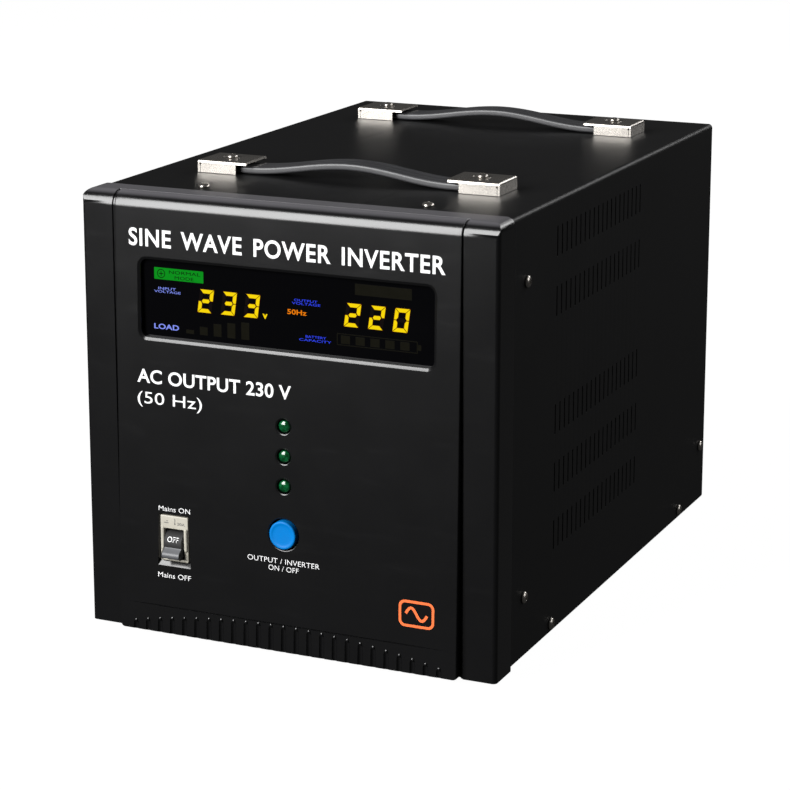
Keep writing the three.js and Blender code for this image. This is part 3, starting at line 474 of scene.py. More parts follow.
def turned(profile, sides=48):
    """A shape turned about Z from its (radius, height) points; a point on the axis closes it."""
    shape = bmesh.new()
    rings = []
    for radius, height in profile:
        points = circle(radius, sides=sides) if radius else [(0, 0)]
        rings.append([shape.verts.new((u, v, height)) for u, v in points])
    if profile[0] == profile[-1]:
        for corner in rings.pop():
            shape.verts.remove(corner)
        rings.append(rings[0])
    for upper, lower in zip(rings, rings[1:]):
        for i in range(sides):
            j = (i + 1) % sides
            corners = [ring[k % len(ring)] for ring, k in ((upper, i), (upper, j), (lower, j), (lower, i))]
            shape.faces.new(list(dict.fromkeys(corners)))
    bmesh.ops.recalc_face_normals(shape, faces=shape.faces)
    return shape


flute_count, flute_pitch = 25, 9.3
flute_radius, flute_deep = 2.1, 1.45
flute_middle, flute_fall = 16.0, 11.5
bead_radius, bead_rise = 1.25, 0.75


def flute_tops():
    """Middle and height of each flute, lowest at the ends of the row."""
    places = []
    for number in range(flute_count):
        share = (2 * number / (flute_count - 1) - 1) ** 2
        across = (number - (flute_count - 1) / 2) * flute_pitch
        places.append((across, ground_gap + flute_middle - flute_fall * share))
    return places


def beads():
    """A small raised bead that closes the top of each flute."""
    turns = (1.57, 1.3, 1.0, 0.7, 0.4)
    dome = [(bead_radius * math.sin(turn), bead_rise * math.cos(turn)) for turn in turns]
    shapes = []
    for x, height in flute_tops():
        bead = turned([(0, -1.2), (bead_radius, -1.2)] + dome + [(0, bead_rise)], 20)
        shapes.append(shifted(bead, x=x, y=face_at(height), z=height + 2.0, matrix=toward_front))
    return shapes


def flute_cutter():
    """Round-topped channels along the foot, higher towards the middle, and the long crease above."""
    y = face_at(ground_gap) + flute_deep - flute_radius
    below = ground_gap - 6
    shapes = []
    for x, height in flute_tops():
        profile = [(0, below), (flute_radius, below), (flute_radius, height)]
        for turn in (0.4, 0.8, 1.2):
            profile.append((flute_radius * math.cos(turn), height + flute_radius * math.sin(turn)))
        shapes.append(shifted(turned(profile + [(0, height + flute_radius)], 20), x=x, y=y))
    slit = bmesh.new()
    surface = face_at(crease_height)
    ends = [slit.verts.new((side * (panel_half - 1.5), surface - 0.05, crease_height)) for side in (-1, 1)]
    middle = [(surface - 0.6, 0.75), (surface + 0.85, -0.2), (surface - 0.6, -0.75)]
    rings = []
    for x in (-panel_half * 0.75, panel_half * 0.75):
        rings.append([slit.verts.new((x, y, crease_height + z)) for y, z in middle])
    for i in range(3):
        slit.faces.new((rings[0][i - 1], rings[0][i], rings[1][i], rings[1][i - 1]))
        slit.faces.new((rings[0][i], rings[0][i - 1], ends[0]))
        slit.faces.new((rings[1][i - 1], rings[1][i], ends[1]))
    bmesh.ops.recalc_face_normals(slit, faces=slit.faces)
    return together(slit, *shapes)


def breaker_rim():
    """The cut-out round the breaker, with a long sloped sill under it."""
    left = breaker_middle - nose_size[0] / 2 - 0.3
    right = breaker_middle + nose_size[0] / 2 + 0.3
    bottom = nose_bottom - 0.3
    top = nose_bottom + nose_size[1] + 0.3

    def ring(beside, below, above, depth):
        """The opening's corners, spread most at its foot, that deep in the panel."""
        corners = [(left - beside, bottom - below), (left - above, top + above)]
        corners += [(right + above, top + above), (right + beside, bottom - below)]
        return [(u, v, depth) for u, v in corners]

    return [ring(1.6, 3.4, 0.7, 0), ring(1.4, 3.1, 0.5, 0.1), ring(0, 0, 0, 0.82), ring(0, 0, 0, 2.5)]


def panel_shape():
    window = rectangle(*window_size, 5.0, 0, window_middle)[::-1]
    edges = [rim(panel_outline(), rounding(0.8, 2.5)), rim(window, chamfer(1.9, 0.95, 2.5))]
    for height in lamp_heights:
        edges.append(rim(circle(5.0, 0, height, 40)[::-1], chamfer(0.8, 0.42, 2.5)))
    edges.append(rim(circle(10.9, 0, button_middle, 64)[::-1], chamfer(0.6, 0.36, 2.5)))
    edges.append(breaker_rim())
    shape = plate(edges)
    for step in range(13):
        everything = shape.verts[:] + shape.edges[:] + shape.faces[:]
        line = (0, face_top + roll * step / 12 - (0.02 if step == 12 else 0), 0)
        bmesh.ops.bisect_plane(shape, geom=everything, plane_co=line, plane_no=(0, 1, 0))
    return together(carved(moved(shape, on_panel), flute_cutter()), *beads())


add_piece("centre_panel", panel_shape(), black_moulding, replaced=["front_panel"], smooth=18)

# ---------------------------------------------------------------- display
# A dark filter sheet held in the window, with a lit segment display behind it. The lit bars,
# legends and the bars that are switched off are thin layers on the filter's face. The switched-off
# bars and the sleeping marks are given a faint painted glow, and a painted halo of glow rings each lit bar.


def sheet_finish():
    finish = Finish("smoked_sheet", "smoked_sheet")
    smear = finish.noise(26, detail=4, stretch=(0.4, 1, 1))
    ripple = finish.noise(14, detail=1)
    roughness = 0.05 + 0.08 * smear.between(0.35, 0.8)
    return finish.surface((0.0012, 0.0012, 0.0015, 1), roughness, normal=finish.relief(ripple, 0.01),
                          Specular_IOR_Level=0.15)


smoked_sheet = sheet_finish()
sheet_width = window_high.x - window_low.x
sheet_height = window_high.z - window_low.z
sheet_face = window_low.y


def flat_at(y):
    """Maps a plate's (across, up, depth) to a sheet facing the front at y."""
    return lambda point: Vector((point.x, y + point.z, point.y))


sheet = plate([rim(rectangle(sheet_width, sheet_height, 3, 0, window_middle), rounding(0.3, 2.0, 0.3, 2))])
add_piece("display_filter", moved(sheet, flat_at(sheet_face)), smoked_sheet, replaced=["display_window"])


def glow_finish(name, color, strength, slot="display_face", dim=0.9):
    """A lit or a sleeping layer of the display, its glow a little stronger in small cloudy patches."""
    finish = Finish(name, slot)
    cells = finish.noise(3.0, detail=1)
    light = finish.blend([part * dim for part in color[:3]] + [1], color, cells)
    return finish.surface(
        (0.0015, 0.0015, 0.0015, 1), 0.2 + 0.1 * cells, Emission_Color=light, Emission_Strength=strength,
        Specular_IOR_Level=0.04,
    )


amber = glow_finish("display_amber", (1.0, 0.72, 0.0, 1), 1.0)
# Painted glow halo: a dark red layer a little larger than the lit bars glows round them, a painted spill of
# their light.
halo_painted_glow = glow_finish("display_ember", (0.22, 0.02, 0.0, 1), 0.35)
# Painted glow: the switched-off bars and the sleeping marks are not lit, yet they glow faintly of their own.
unlit_painted_glow = glow_finish("display_asleep", (0.012, 0.004, 0.003, 1), 0.3)
marks_painted_glow = glow_finish("display_olive", (0.0075, 0.0068, 0.0030, 1), 0.8)
leaf = glow_finish("display_green", (0.0, 0.33, 0.01, 1), 0.85)
leaf_ink = glow_finish("display_green_ink", (0.0, 0.02, 0.0, 1), 0.5)
sky = glow_finish("display_blue", (0.035, 0.07, 1.0, 1), 1.0)
pale = glow_finish("display_pale_blue", (0.25, 0.32, 1.0, 1), 1.0)
orange = glow_finish("display_orange", (1.0, 0.24, 0.0, 1), 0.9)

digit_bars = {"0": "abcdef", "2": "abged", "3": "abgcd"}
digit_size = (10.2, 15.4)
bar_width = 2.5
digit_slant = 0.14


def bar_outline(bar, grow=0.0):
    """One bar of a seven-bar digit, with mitred ends, about the digit's lower left corner."""
    width, height = digit_size
    t, s, g = bar_width, 0.28, grow
    half = height / 2
    shapes = {
        "a": [(s, height), (width - s, height), (width - t - s, height - t), (t + s, height - t)],
        "d": [(s, 0), (t + s, t), (width - t - s, t), (width - s, 0)],
        "b": [(width, height - s), (width, half + s), (width - t * 0.6, half + s),
              (width - t, half + t * 0.7), (width - t, height - t - s)],
        "c": [(width, s), (width - t, t + s), (width - t, half - t * 0.7), (width - t * 0.6, half - s),
              (width, half - s)],
        "e": [(0, s), (0, half - s), (t * 0.6, half - s), (t, half - t * 0.7), (t, t + s)],
        "f": [(0, height - s), (t, height - t - s), (t, half + t * 0.7), (t * 0.6, half + s), (0, half + s)],
        "g": [(t * 0.9, half), (t * 1.25, half + t / 2), (width - t * 1.25, half + t / 2),
              (width - t * 0.9, half), (width - t * 1.25, half - t / 2), (t * 1.25, half - t / 2)],
    }
    loop = shapes[bar]
    area = sum(a[0] * b[1] - b[0] * a[1] for a, b in zip(loop, loop[1:] + loop[:1]))
    loop = loop if area > 0 else loop[::-1]
    return offset(loop, -g) if g else loop


def layer(outlines, level, thickness=0.04):
    """Thin flat shapes on the filter, drawn across and up, standing level millimetres off it."""
    shapes = [prism(outline, sheet_face - level - thickness, sheet_face - level) for outline in outlines]
    return together(*shapes)


def digit_outlines(text, left, bottom, pitch, bars_of, grow=0.0):
    outlines = []
    for place, character in enumerate(text):
        for bar in bars_of(character):
            points = bar_outline(bar, grow)
            outlines.append([(left + place * pitch + u + digit_slant * v, bottom + v) for u, v in points])
    return outlines


def lettering(words, left, right, bottom, top, weight=0.0, gap=1.0, thickness=0.04):
    """Flat letters that fill the given width and height, drawn across and up with a small depth."""
    text = bpy.data.curves.new("letters", "FONT")
    text.body = words
    text.offset = weight
    text.space_word = gap
    text.space_character = 0.9 + gap / 8
    text.resolution_u = 6
    text.extrude = 0.5
    blank = bpy.data.objects.new("letters", text)
    scene.collection.objects.link(blank)
    shape = bmesh.new()
    mesh = bpy.data.meshes.new_from_object(blank.evaluated_get(bpy.context.evaluated_depsgraph_get()))
    shape.from_mesh(mesh)
    bpy.data.curves.remove(text)
    bpy.data.meshes.remove(mesh)
    low = Vector([min(corner.co[i] for corner in shape.verts) for i in range(3)])
    high = Vector([max(corner.co[i] for corner in shape.verts) for i in range(3)])
    for corner in shape.verts:
        u = left + (corner.co.x - low.x) / (high.x - low.x) * (right - left)
        v = bottom + (corner.co.y - low.y) / (high.y - low.y) * (top - bottom)
        corner.co = (u, v, -thickness * (corner.co.z - low.z) / (high.z - low.z))
    return shape


def on_filter(shape, level=0.05):
    return moved(shape, flat_at(sheet_face - level))


def add_display(name, shape, finish):
    """A layer of the display, held in the housing."""
    return add_piece(name, shape, finish, smooth=20)


base = ground_gap
readings = [("233", -64.6, base + 223.8, 16.9), ("220", 41.3, base + 224.7, 17.0)]
all_bars = "abcdefg"
lit, unlit, painted_halo = [], [], []
for text, left, bottom, pitch in readings:
    lit += digit_outlines(text, left, bottom, pitch, lambda c: digit_bars[c])
    # Each lit bar grown by 0.35 mm, for the painted halo of glow round it.
    painted_halo += digit_outlines(text, left, bottom, pitch, lambda c: digit_bars[c], 0.35)
    unlit += digit_outlines(text, left, bottom, pitch, lambda c: sorted(set(all_bars) - set(digit_bars[c])))
add_display("display_bars_lit", layer(lit, 0.1), amber)
add_display("display_bars_fringe", layer(painted_halo, 0.03), halo_painted_glow)
add_display("display_bars_unlit", layer(unlit, 0.05), unlit_painted_glow)
volt_sign = lettering("v", -16.9, -13.3, base + 223.9, base + 227.2, 0.03)
add_display("display_volt_sign", on_filter(volt_sign), amber)
hertz = lettering("50Hz", 1.0, 14.8, base + 228.8, base + 232.2, 0.02)
add_display("display_hertz", on_filter(hertz), orange)

tag_across, tag_up = -78.3, base + 247.1
add_display("display_tag", layer([rectangle(36.6, 7.9, 0.4, tag_across, tag_up, 3)], 0.02), leaf)
icon = (tag_across - 13.1, tag_up)
foil = [(0, 0), (0, 0.04)]
tag_ink = [plate([rim(circle(3.0, *icon, 32), foil), rim(circle(2.5, *icon, 32)[::-1], foil)])]
tag_ink += [plate([rim(rectangle(*arm, 0.1, *icon, 2), foil)]) for arm in [(3.4, 0.55), (0.55, 3.4)]]
tag_ink = [on_filter(shape, 0.12) for shape in tag_ink]
tag_words = [
    lettering("NORMAL", tag_across - 7.2, tag_across + 16.0, tag_up + 0.4, tag_up + 2.6),
    lettering("MODE", tag_across - 3.0, tag_across + 11.0, tag_up - 3.1, tag_up - 0.9),
]
tag_ink += [on_filter(word, 0.07) for word in tag_words]
add_display("display_tag_ink", together(*tag_ink), leaf_ink)

legends = [
    ("INPUT", -93.8, -80.6, 236.3, 238.0, pale), ("VOLTAGE", -96.8, -77.0, 234.2, 235.8, pale),
    ("LOAD", -97.4, -78.8, 209.5, 213.1, pale),
    ("OUTPUT", 6.0, 22.6, 237.8, 239.4, sky), ("VOLTAGE", 4.3, 24.7, 235.7, 237.3, sky),
    ("BATTERY", 14.0, 28.6, 214.5, 216.1, sky), ("CAPACITY", 9.5, 32.3, 212.1, 213.7, sky),
]
for number, (words, left, right, bottom, top, finish) in enumerate(legends):
    weight = 0.02 if words == "LOAD" else 0.0
    shape = lettering(words, left, right, base + bottom, base + top, weight)
    add_display(f"display_legend_{number + 1}", on_filter(shape), finish)

load_bars = []
for number in range(5):
    left = -73.4 + number * 10.2
    height = (2.6, 5.4, 8.4, 10.0, 11.4)[number]
    load_bars.append(rectangle(5.8, height, 0.1, left + 2.9, base + 208.5 + height / 2, 2))
cell_up = base + 215.8
cells = [rectangle(6.4, 5.4, 0.1, 42.3 + number * 10.4, cell_up, 2) for number in range(5)]
fault_panel = rectangle(39.5, 7.3, 0.3, 68.9, base + 249.6, 3)
cell_frame = plate([
    rim(rectangle(56.5, 7.8, 0.5, 64.5, cell_up, 3), foil),
    rim(rectangle(55.3, 6.8, 0.3, 64.5, cell_up, 3)[::-1], foil),
])
nub = plate([rim(rectangle(2.2, 3.6, 0.3, 94.1, cell_up, 3), foil)])
# The sleeping marks are given a faint painted glow.
dim = [layer(load_bars + cells + [fault_panel], 0.02), on_filter(cell_frame, 0.06), on_filter(nub, 0.06)]
add_display("display_sleeping_marks", together(*dim), marks_painted_glow)

# ---------------------------------------------------------------- lamps
# Three round lenses of tinted polycarbonate with a domed crown, each pushed through its hole
# from behind so that the crown ends level with the face. None of them is lit.


def lens_finish():
    finish = Finish("green_lens", "green_lens")
    depth = finish.noise(2.2, detail=2)
    core = finish.blend((0.0, 0.030, 0.007, 1), (0.002, 0.09, 0.024, 1), depth.between(0.35, 0.7))
    return finish.surface(core, 0.12 + 0.04 * depth, normal=finish.relief(depth, 0.02), Coat_Weight=0.6,
                          Coat_Roughness=0.05)


green_lens = lens_finish()
lens_radius = (lens_high.x - lens_low.x) / 2
crown_rise = 1.8
for node in lamp_nodes:
    low, high = span(node)
    crown = [(lens_radius * math.cos(a), -crown_rise + crown_rise * math.sin(a))
             for a in [math.pi / 2 * step / 10 for step in range(10)]]
    stem_end = low.y - high.y
    profile = [(0, stem_end), (2.5, stem_end), (2.5, -6.3), (lens_radius, -6.3)] + crown + [(0, 0)]
    shape = shifted(turned(profile, 40), y=low.y, z=(low.z + high.z) / 2, matrix=toward_front)
    add_piece(node.replace("lens", "lamp"), shape, green_lens, replaced=[node])

# ---------------------------------------------------------------- push button
# A round blue cap with a raised rim, moulded in one with a square stem that runs back into a
# sprung switch on the front board.


def cap_finish():
    finish = Finish("blue_cap", "blue_cap")
    grain = finish.noise(0.35, detail=3)
    touch = finish.noise(7, detail=3)
    color = finish.blend((0.0, 0.145, 0.45, 1), (0.0, 0.168, 0.51, 1), touch)
    roughness = 0.36 + 0.1 * grain - 0.06 * touch.between(0.4, 0.8)
    return finish.surface(color, roughness, normal=finish.relief(grain, 0.008), Specular_IOR_Level=0.15)


blue_cap = cap_finish()
button_radius = button_high.x
cap = [(0, -10), (button_radius - 0.3, -10), (button_radius, -9.7)]
for turn in (0, 0.35, 0.7, 1.05, 1.4):
    cap.append((button_radius - 1.1 + 1.1 * math.cos(turn), -1.1 + 1.1 * math.sin(turn)))
cap += [(button_radius - 1.7, -0.05), (button_radius - 2.3, -0.32), (button_radius - 3.2, -0.45)]
cap += [(button_radius * 0.5, -0.5), (0, -0.5)]
cap = shifted(turned(cap, 72), y=button_low.y, z=button_middle, matrix=toward_front)
stem = block((-3, button_low.y + 9, button_middle - 3), (3, button_high.y, button_middle + 3))
add_piece("button_cap", together(cap, softened(stem, 0.4)), blue_cap, "push_button", ["power_button"])

# ---------------------------------------------------------------- mains breaker
# A moulded breaker whose cream nose fills the cut-out: a window for the lever, a rounded guard
# rib down each side of it, and small marks above. The grey lever turns on a pin inside.


def cream_finish():
    finish = Finish("cream_plastic", "cream_plastic")
    grain = finish.noise(0.5, detail=3)
    stain = finish.noise(6, detail=4)
    color = finish.blend((0.36, 0.34, 0.285, 1), (0.47, 0.45, 0.385, 1), stain)
    return finish.surface(color, 0.42 + 0.12 * grain, normal=finish.relief(grain, 0.01))


def lever_finish():
    finish = Finish("grey_lever", "grey_lever")
    grain = finish.noise(0.4, detail=3)
    wear = finish.noise(3, detail=4)
    color = finish.blend((0.075, 0.078, 0.084, 1), (0.11, 0.113, 0.12, 1), wear)
    return finish.surface(color, 0.38 + 0.12 * grain, normal=finish.relief(grain, 0.012))


cream_plastic = cream_finish()
grey_lever = lever_finish()
nose_face = breaker_low.y
nose_middle = nose_bottom + nose_size[1] / 2
slot_middle = ground_gap + 64.0
slot_wide, slot_tall = 14.3, 20.6
nose = plate([
    rim(rectangle(*nose_size, 0.8, breaker_middle, nose_middle, 4), rounding(0.6, 16)),
    rim(rectangle(slot_wide, slot_tall, 0.6, breaker_middle, slot_middle, 4)[::-1], rounding(0.5, 16)),
])
ribs = []
for side in (-1, 1):
    x = breaker_middle + side * (slot_wide / 2 + 1.55)
    rib = plate([rim(rectangle(2.7, 16.3, 1.3, x, ground_gap + 67.4, 6), rounding(1.2, 3.0, steps=5))])
    ribs.append(moved(rib, flat_at(nose_face - 1.1)))
body_low = (breaker_low.x, nose_face + 13, breaker_low.z)
breaker_block = softened(block(body_low, tuple(breaker_high)), 0.8)
well = block((breaker_middle - slot_wide / 2, nose_face + 10, slot_middle - slot_tall / 2),
             (breaker_middle + slot_wide / 2, nose_face + 15.4, slot_middle + slot_tall / 2))
add_piece("breaker_case", together(moved(nose, flat_at(nose_face)), *ribs, carved(breaker_block, well)),
          cream_plastic, replaced=["breaker_body"])

well_dark = Finish("breaker_well", "dark_plastic")
dust = well_dark.noise(1.5, detail=3)
well_dark.surface(well_dark.blend((0.004, 0.004, 0.004, 1), (0.01, 0.01, 0.01, 1), dust), 0.6 + 0.2 * dust)
# Painted shade: a thin near-black sheet lines the walls of the lever window and darkens the recess in place
# of the shade inside it.
liner_wall = [(0, 0), (0, 12)]
shade_liner = plate([
    rim(rectangle(slot_wide - 0.05, slot_tall - 0.05, 0.5, breaker_middle, slot_middle, 3), liner_wall),
    rim(rectangle(slot_wide - 0.5, slot_tall - 0.5, 0.4, breaker_middle, slot_middle, 3)[::-1], liner_wall),
])
add_piece("breaker_liner", moved(shade_liner, flat_at(nose_face + 1.6)), well_dark)

mark_bars = [(0.45, 3.6, 0.6, 79.9), (1.0, 1.0, 0.6, 77.9), (3.6, 0.5, -6.0, 78.3), (1.2, 0.5, -5.2, 79.6)]
marks = []
for width, height, across, up in mark_bars:
    bar = rectangle(width, height, 0.08, breaker_middle + across, ground_gap + up, 2)
    marks.append(plate([rim(bar, [(0, 0), (0, 0.06)])]))
marks.append(lettering("20A", breaker_middle + 2.2, breaker_middle + 8.2, base + 77.2, base + 79.2))
dark_ink = Finish("dark_ink", "dark_plastic")
fade = dark_ink.noise(0.8, detail=3)
dark_ink.surface(dark_ink.blend((0.03, 0.03, 0.032, 1), (0.12, 0.12, 0.12, 1), fade), 0.5 + 0.1 * fade)
add_piece("breaker_marks", moved(together(*marks), flat_at(nose_face - 0.03)), dark_ink)

throw = next(joint for joint in frame["joints"] if joint["name"] == "breaker_throw")
pin_y, pin_z = throw["pos_m"][1] * 1000, throw["pos_m"][2] * 1000
lever_low, lever_high = span("breaker_lever")
lever_half = (lever_high.x - lever_low.x) / 2
drum_radius = 8.6
reach, tip_round, drop = 14.5, 2.6, 35


def lever_section():
    """The lever seen from its side, pointing straight out, about its pin: a drum with a waisted arm."""
    points = quarter(0, 0, drum_radius, 158, -158, 40)
    points += [(-drum_radius - 0.6, -tip_round - 0.2)]
    points += quarter(-reach + tip_round, 0, tip_round, 270, 90, 10)
    points += [(-drum_radius - 0.6, tip_round + 0.2)]
    return points


def hung(shape):
    """A part of the lever, drawn pointing straight out, turned down to OFF and put on its pin."""
    down = Matrix.Rotation(math.radians(drop), 3, "X")
    bmesh.ops.rotate(shape, cent=(0, 0, 0), matrix=down, verts=shape.verts)
    return shifted(shape, y=pin_y, z=pin_z)


lever = plate([rim(lever_section(), rounding(0.5, 2 * lever_half, 0.5, 2))])
lever = moved(lever, lambda point: Vector((breaker_middle - lever_half + point.z, point.x, point.y)))
add_piece("breaker_toggle_lever", hung(lever), grey_lever, "breaker_toggle", ["breaker_lever"])

cheek = quarter(0, 0, drum_radius + 0.12, 196, 300, 24)
cheek = [(u, -v) for u, v in cheek] + [(u * 0.94, -v * 0.94) for u, v in cheek[::-1]]
cheek = prism(cheek, breaker_middle - lever_half + 0.15, breaker_middle + lever_half - 0.15, "X")
add_piece("breaker_toggle_cheek", hung(cheek), well_dark, "breaker_toggle")


def on_drum(point):
    """Letters laid round the lever's drum above its arm. Up is measured along the drum's face."""
    turn = point.y / drum_radius
    radius = drum_radius + 0.16 - point.z
    out, up = radius * math.cos(turn), radius * math.sin(turn)
    return Vector((breaker_middle + point.x, pin_y - out, pin_z + up))


white_print = Finish("white_print", "white_print")
ink = white_print.noise(0.9, detail=3)
white_print.surface(
    white_print.blend((0.74, 0.74, 0.74, 1), (0.86, 0.86, 0.86, 1), ink), 0.45 + 0.1 * ink,
    normal=white_print.relief(ink, 0.01),
)
off_word = moved(lettering("OFF", -4.2, 4.2, 1.8, 5.4, 0.0), on_drum)
add_piece("lever_word", off_word, white_print, "breaker_toggle")

# ---------------------------------------------------------------- screen print
# White and orange ink printed on the centre panel: what the unit is, its output, and the names
# of the switches. The badge is a plain wave in a rounded frame.


def printed(shape, level=0.05):
    """Ink on the leaning face: (across, up) becomes a place just in front of it."""
    return moved(shape, lambda point: Vector((point.x, face_at(point.y) - level + point.z, point.y)))


print_rows = [
    ("title", "SINE WAVE POWER INVERTER", -113.4, 113.0, 265.0, 277.0, 0.02),
    ("output", "AC OUTPUT 230 V", -108.3, 5.6, 172.9, 182.4, 0.018),
    ("cycles", "(50 Hz)", -108.3, -59.8, 156.4, 167.0, 0.0),
    ("mains_on", "Mains ON", -93.2, -69.5, 86.3, 89.7, -0.004),
    ("mains_off", "Mains OFF", -94.2, -69.2, 39.8, 43.3, -0.004),
    ("switch", "OUTPUT / INVERTER", -26.5, 26.2, 61.4, 64.9, -0.006),
    ("switch_states", "ON / OFF", -11.0, 11.0, 56.4, 59.9, -0.006),
]
for name, words, left, right, bottom, top, weight in print_rows:
    gap = 1.5 if name == "title" else 1.0
    letters = lettering(words, left, right, base + bottom, base + top, weight, gap)
    add_piece("print_" + name, printed(letters), white_print, smooth=20)


def wave_outline(across, up, width, height, thick, steps=28):
    """A band that follows one cycle of a sine wave."""
    line = []
    for step in range(steps + 1):
        share = step / steps
        line.append(Vector((across + width * (share - 0.5), up + height / 2 * math.sin(2 * math.pi * share))))
    upper, lower = [], []
    for before, here, after in zip(line[:1] + line[:-1], line, line[1:] + line[-1:]):
        along = (after - before).normalized()
        upper.append(tuple(here + Vector((-along.y, along.x)) * thick / 2))
        lower.append(tuple(here - Vector((-along.y, along.x)) * thick / 2))
    return lower + upper[::-1]


orange_print = Finish("orange_print", "orange_print")
coat = orange_print.noise(0.9, detail=3)
orange_print.surface(
    orange_print.blend((0.80, 0.13, 0.025, 1), (0.90, 0.17, 0.035, 1), coat), 0.45 + 0.1 * coat,
    normal=orange_print.relief(coat, 0.01),
)
badge = (95.5, base + 41)
badge_frame = plate([
    rim(rectangle(25, 18, 4.5, *badge), [(0, -0.04), (0, 0)]),
    rim(rectangle(21.4, 14.4, 2.8, *badge)[::-1], [(0, -0.04), (0, 0)]),
])
badge_wave = plate([rim(wave_outline(*badge, 15, 8, 1.9), [(0, -0.04), (0, 0)])])
add_piece("print_badge", printed(together(badge_frame, badge_wave)), orange_print, smooth=20)

# ---------------------------------------------------------------- case cover
# One steel sheet folded down both sides, with rows of slots punched through the sides before it
# was bent and coated in fine satin black powder. It is held by pan-head screws.


def paint_finish():
    finish = Finish("black_paint", "black_paint")
    orange_peel = finish.noise(1.1, detail=2)
    powder = finish.noise(0.3, detail=2)
    cloud = finish.noise(60, detail=3)
    scuff = finish.noise(16, detail=5, stretch=(1, 0.15, 1)).between(0.6, 0.82)
    color = finish.blend((0.0046, 0.0046, 0.0048, 1), (0.0076, 0.0076, 0.0079, 1), powder * 0.6 + cloud * 0.4)
    roughness = 0.40 + 0.06 * cloud + 0.06 * scuff + 0.03 * powder
    relief = finish.relief(orange_peel * 0.75 + powder * 0.25, 0.014)
    return finish.surface(color, roughness, normal=relief, Specular_IOR_Level=0.16)


black_paint = paint_finish()
cover_low, cover_high = span("case_cover")
cover_half = cover_high.x
sheet_steel = 1.2
bend_radius = 3.0
bend_length = math.pi / 2 * bend_radius
flat_side = cover_high.z - bend_radius - cover_low.z
flat_top = 2 * (cover_half - bend_radius)
side_top = flat_top / 2 + bend_length


def folded(across, depth, half, radius):
    """Where a spot on a sheet bent down at both sides ends up, as (across, down)."""
    side = 1 if across > 0 else -1
    beyond = abs(across) - (half - radius)
    if beyond <= 0:
        return across, depth
    bend = math.pi / 2 * radius
    if beyond >= bend:
        return side * (half - depth), radius + beyond - bend
    turn = beyond / radius
    reach = radius - depth
    return side * (half - radius + reach * math.sin(turn)), radius - reach * math.cos(turn)


def bent_edges(shape, half, radius, steps=6):
    """A flat sheet cut into strips where it will be bent."""
    for side in (-1, 1):
        for step in range(steps + 1):
            everything = shape.verts[:] + shape.edges[:] + shape.faces[:]
            line = (side * (half - radius + math.pi / 2 * radius * step / steps), 0, 0)
            bmesh.ops.bisect_plane(shape, geom=everything, plane_co=line, plane_no=(1, 0, 0))
    return shape


def wrapped(point):
    """A place on the unfolded sheet, (across, back, depth), as a place on the folded cover."""
    x, down = folded(point.x, point.z, cover_half, bend_radius)
    return Vector((x, point.y, cover_high.z - down))


def unfolded(height):
    """Distance across the unfolded sheet to a height on the folded side."""
    return side_top + cover_high.z - bend_radius - height


vent_rows = (0, 1, 3, 4, 5)
vent_row_pitch = 40.2
vent_pitch = 8.67
vent_drop = 28.7
vent_start = 79.0
vent_count = 20
vent_slot = (20.5, 1.4)
screw_hole = 2.3


def middle_of(node):
    low, high = span(node)
    return (low + high) / 2


def screw_spots(prefix):
    """Middle of each screw whose CAD node starts with that name."""
    return {node: middle_of(node) for node in sorted(frame["nodes"]) if node.startswith(prefix)}


side_screws = screw_spots("side_screw")
top_screws = screw_spots("top_screw")
handle_screws = screw_spots("handle_screw")


def cover_shape():
    width = 2 * (side_top + flat_side)
    depth = cover_high.y - cover_low.y
    middle = (cover_low.y + cover_high.y) / 2
    edge = rounding(0.35, sheet_steel, 0.25, 2)
    edges = [rim(rectangle(width, depth, 1.5, 0, middle, 3), edge)]
    for side in (-1, 1):
        for row in vent_rows:
            across = side * unfolded(cover_high.z - vent_drop - row * vent_row_pitch)
            for number in range(vent_count):
                back = cover_low.y + vent_start + number * vent_pitch
                slot = rectangle(*vent_slot, vent_slot[1] / 2 - 0.01, across, back, 4)
                edges.append(rim(slot[::-1], rounding(0.3, sheet_steel, steps=2)))
    holes = []
    for spot in side_screws.values():
        side = 1 if spot.x > 0 else -1
        holes.append((side * unfolded(spot.z), spot.y))
    holes += [(spot.x, spot.y) for spot in list(top_screws.values()) + list(handle_screws.values())]
    for hole in holes:
        edges.append(rim(circle(screw_hole, *hole, 16)[::-1], [(0, 0), (0, sheet_steel)]))
    return moved(bent_edges(plate(edges), cover_half, bend_radius), wrapped)


add_piece("cover", cover_shape(), black_paint, replaced=["case_cover"])

# ---------------------------------------------------------------- base tray and feet
# The tray that closes the case below is bent from the same sheet. Four rubber feet are screwed
# to it; each is moulded with a sunk screw seat and a soft edge.


def bare_metal(name, slot, dark, light, shine=0.3, brush=(0.06, 1, 1), metallic=1.0):
    """A plated or milled metal: fine lines one way, cloudy tarnish and tiny pits."""
    finish = Finish(name, slot)
    lines = finish.noise(0.5, detail=3, stretch=brush)
    tarnish = finish.noise(12, detail=4)
    pits = finish.noise(0.8, detail=2).between(0.66, 0.74)
    color = finish.blend(dark, light, lines * 0.5 + tarnish * 0.5)
    roughness = shine + 0.07 * tarnish + 0.05 * lines + 0.06 * pits
    return finish.surface(color, roughness, metallic, finish.relief(lines * 0.6 - pits * 0.4, 0.008))


def dull_finish(name, slot, dark, light, roughness, size=0.5, depth=0.012):
    """A moulded or rubbery surface: fine grain, a cloudy shade and a slightly worn sheen."""
    finish = Finish(name, slot)
    grain = finish.noise(size, detail=3)
    cloud = finish.noise(size * 24, detail=3)
    color = finish.blend(dark, light, grain * 0.5 + cloud * 0.5)
    return finish.surface(color, roughness + 0.1 * grain - 0.06 * cloud, normal=finish.relief(grain, depth))


def dress(node, finish):
    """A CAD node whose shape is right keeps it and takes a finish."""
    for slot in frame["nodes"][node].material_slots:
        slot.material = finish.material


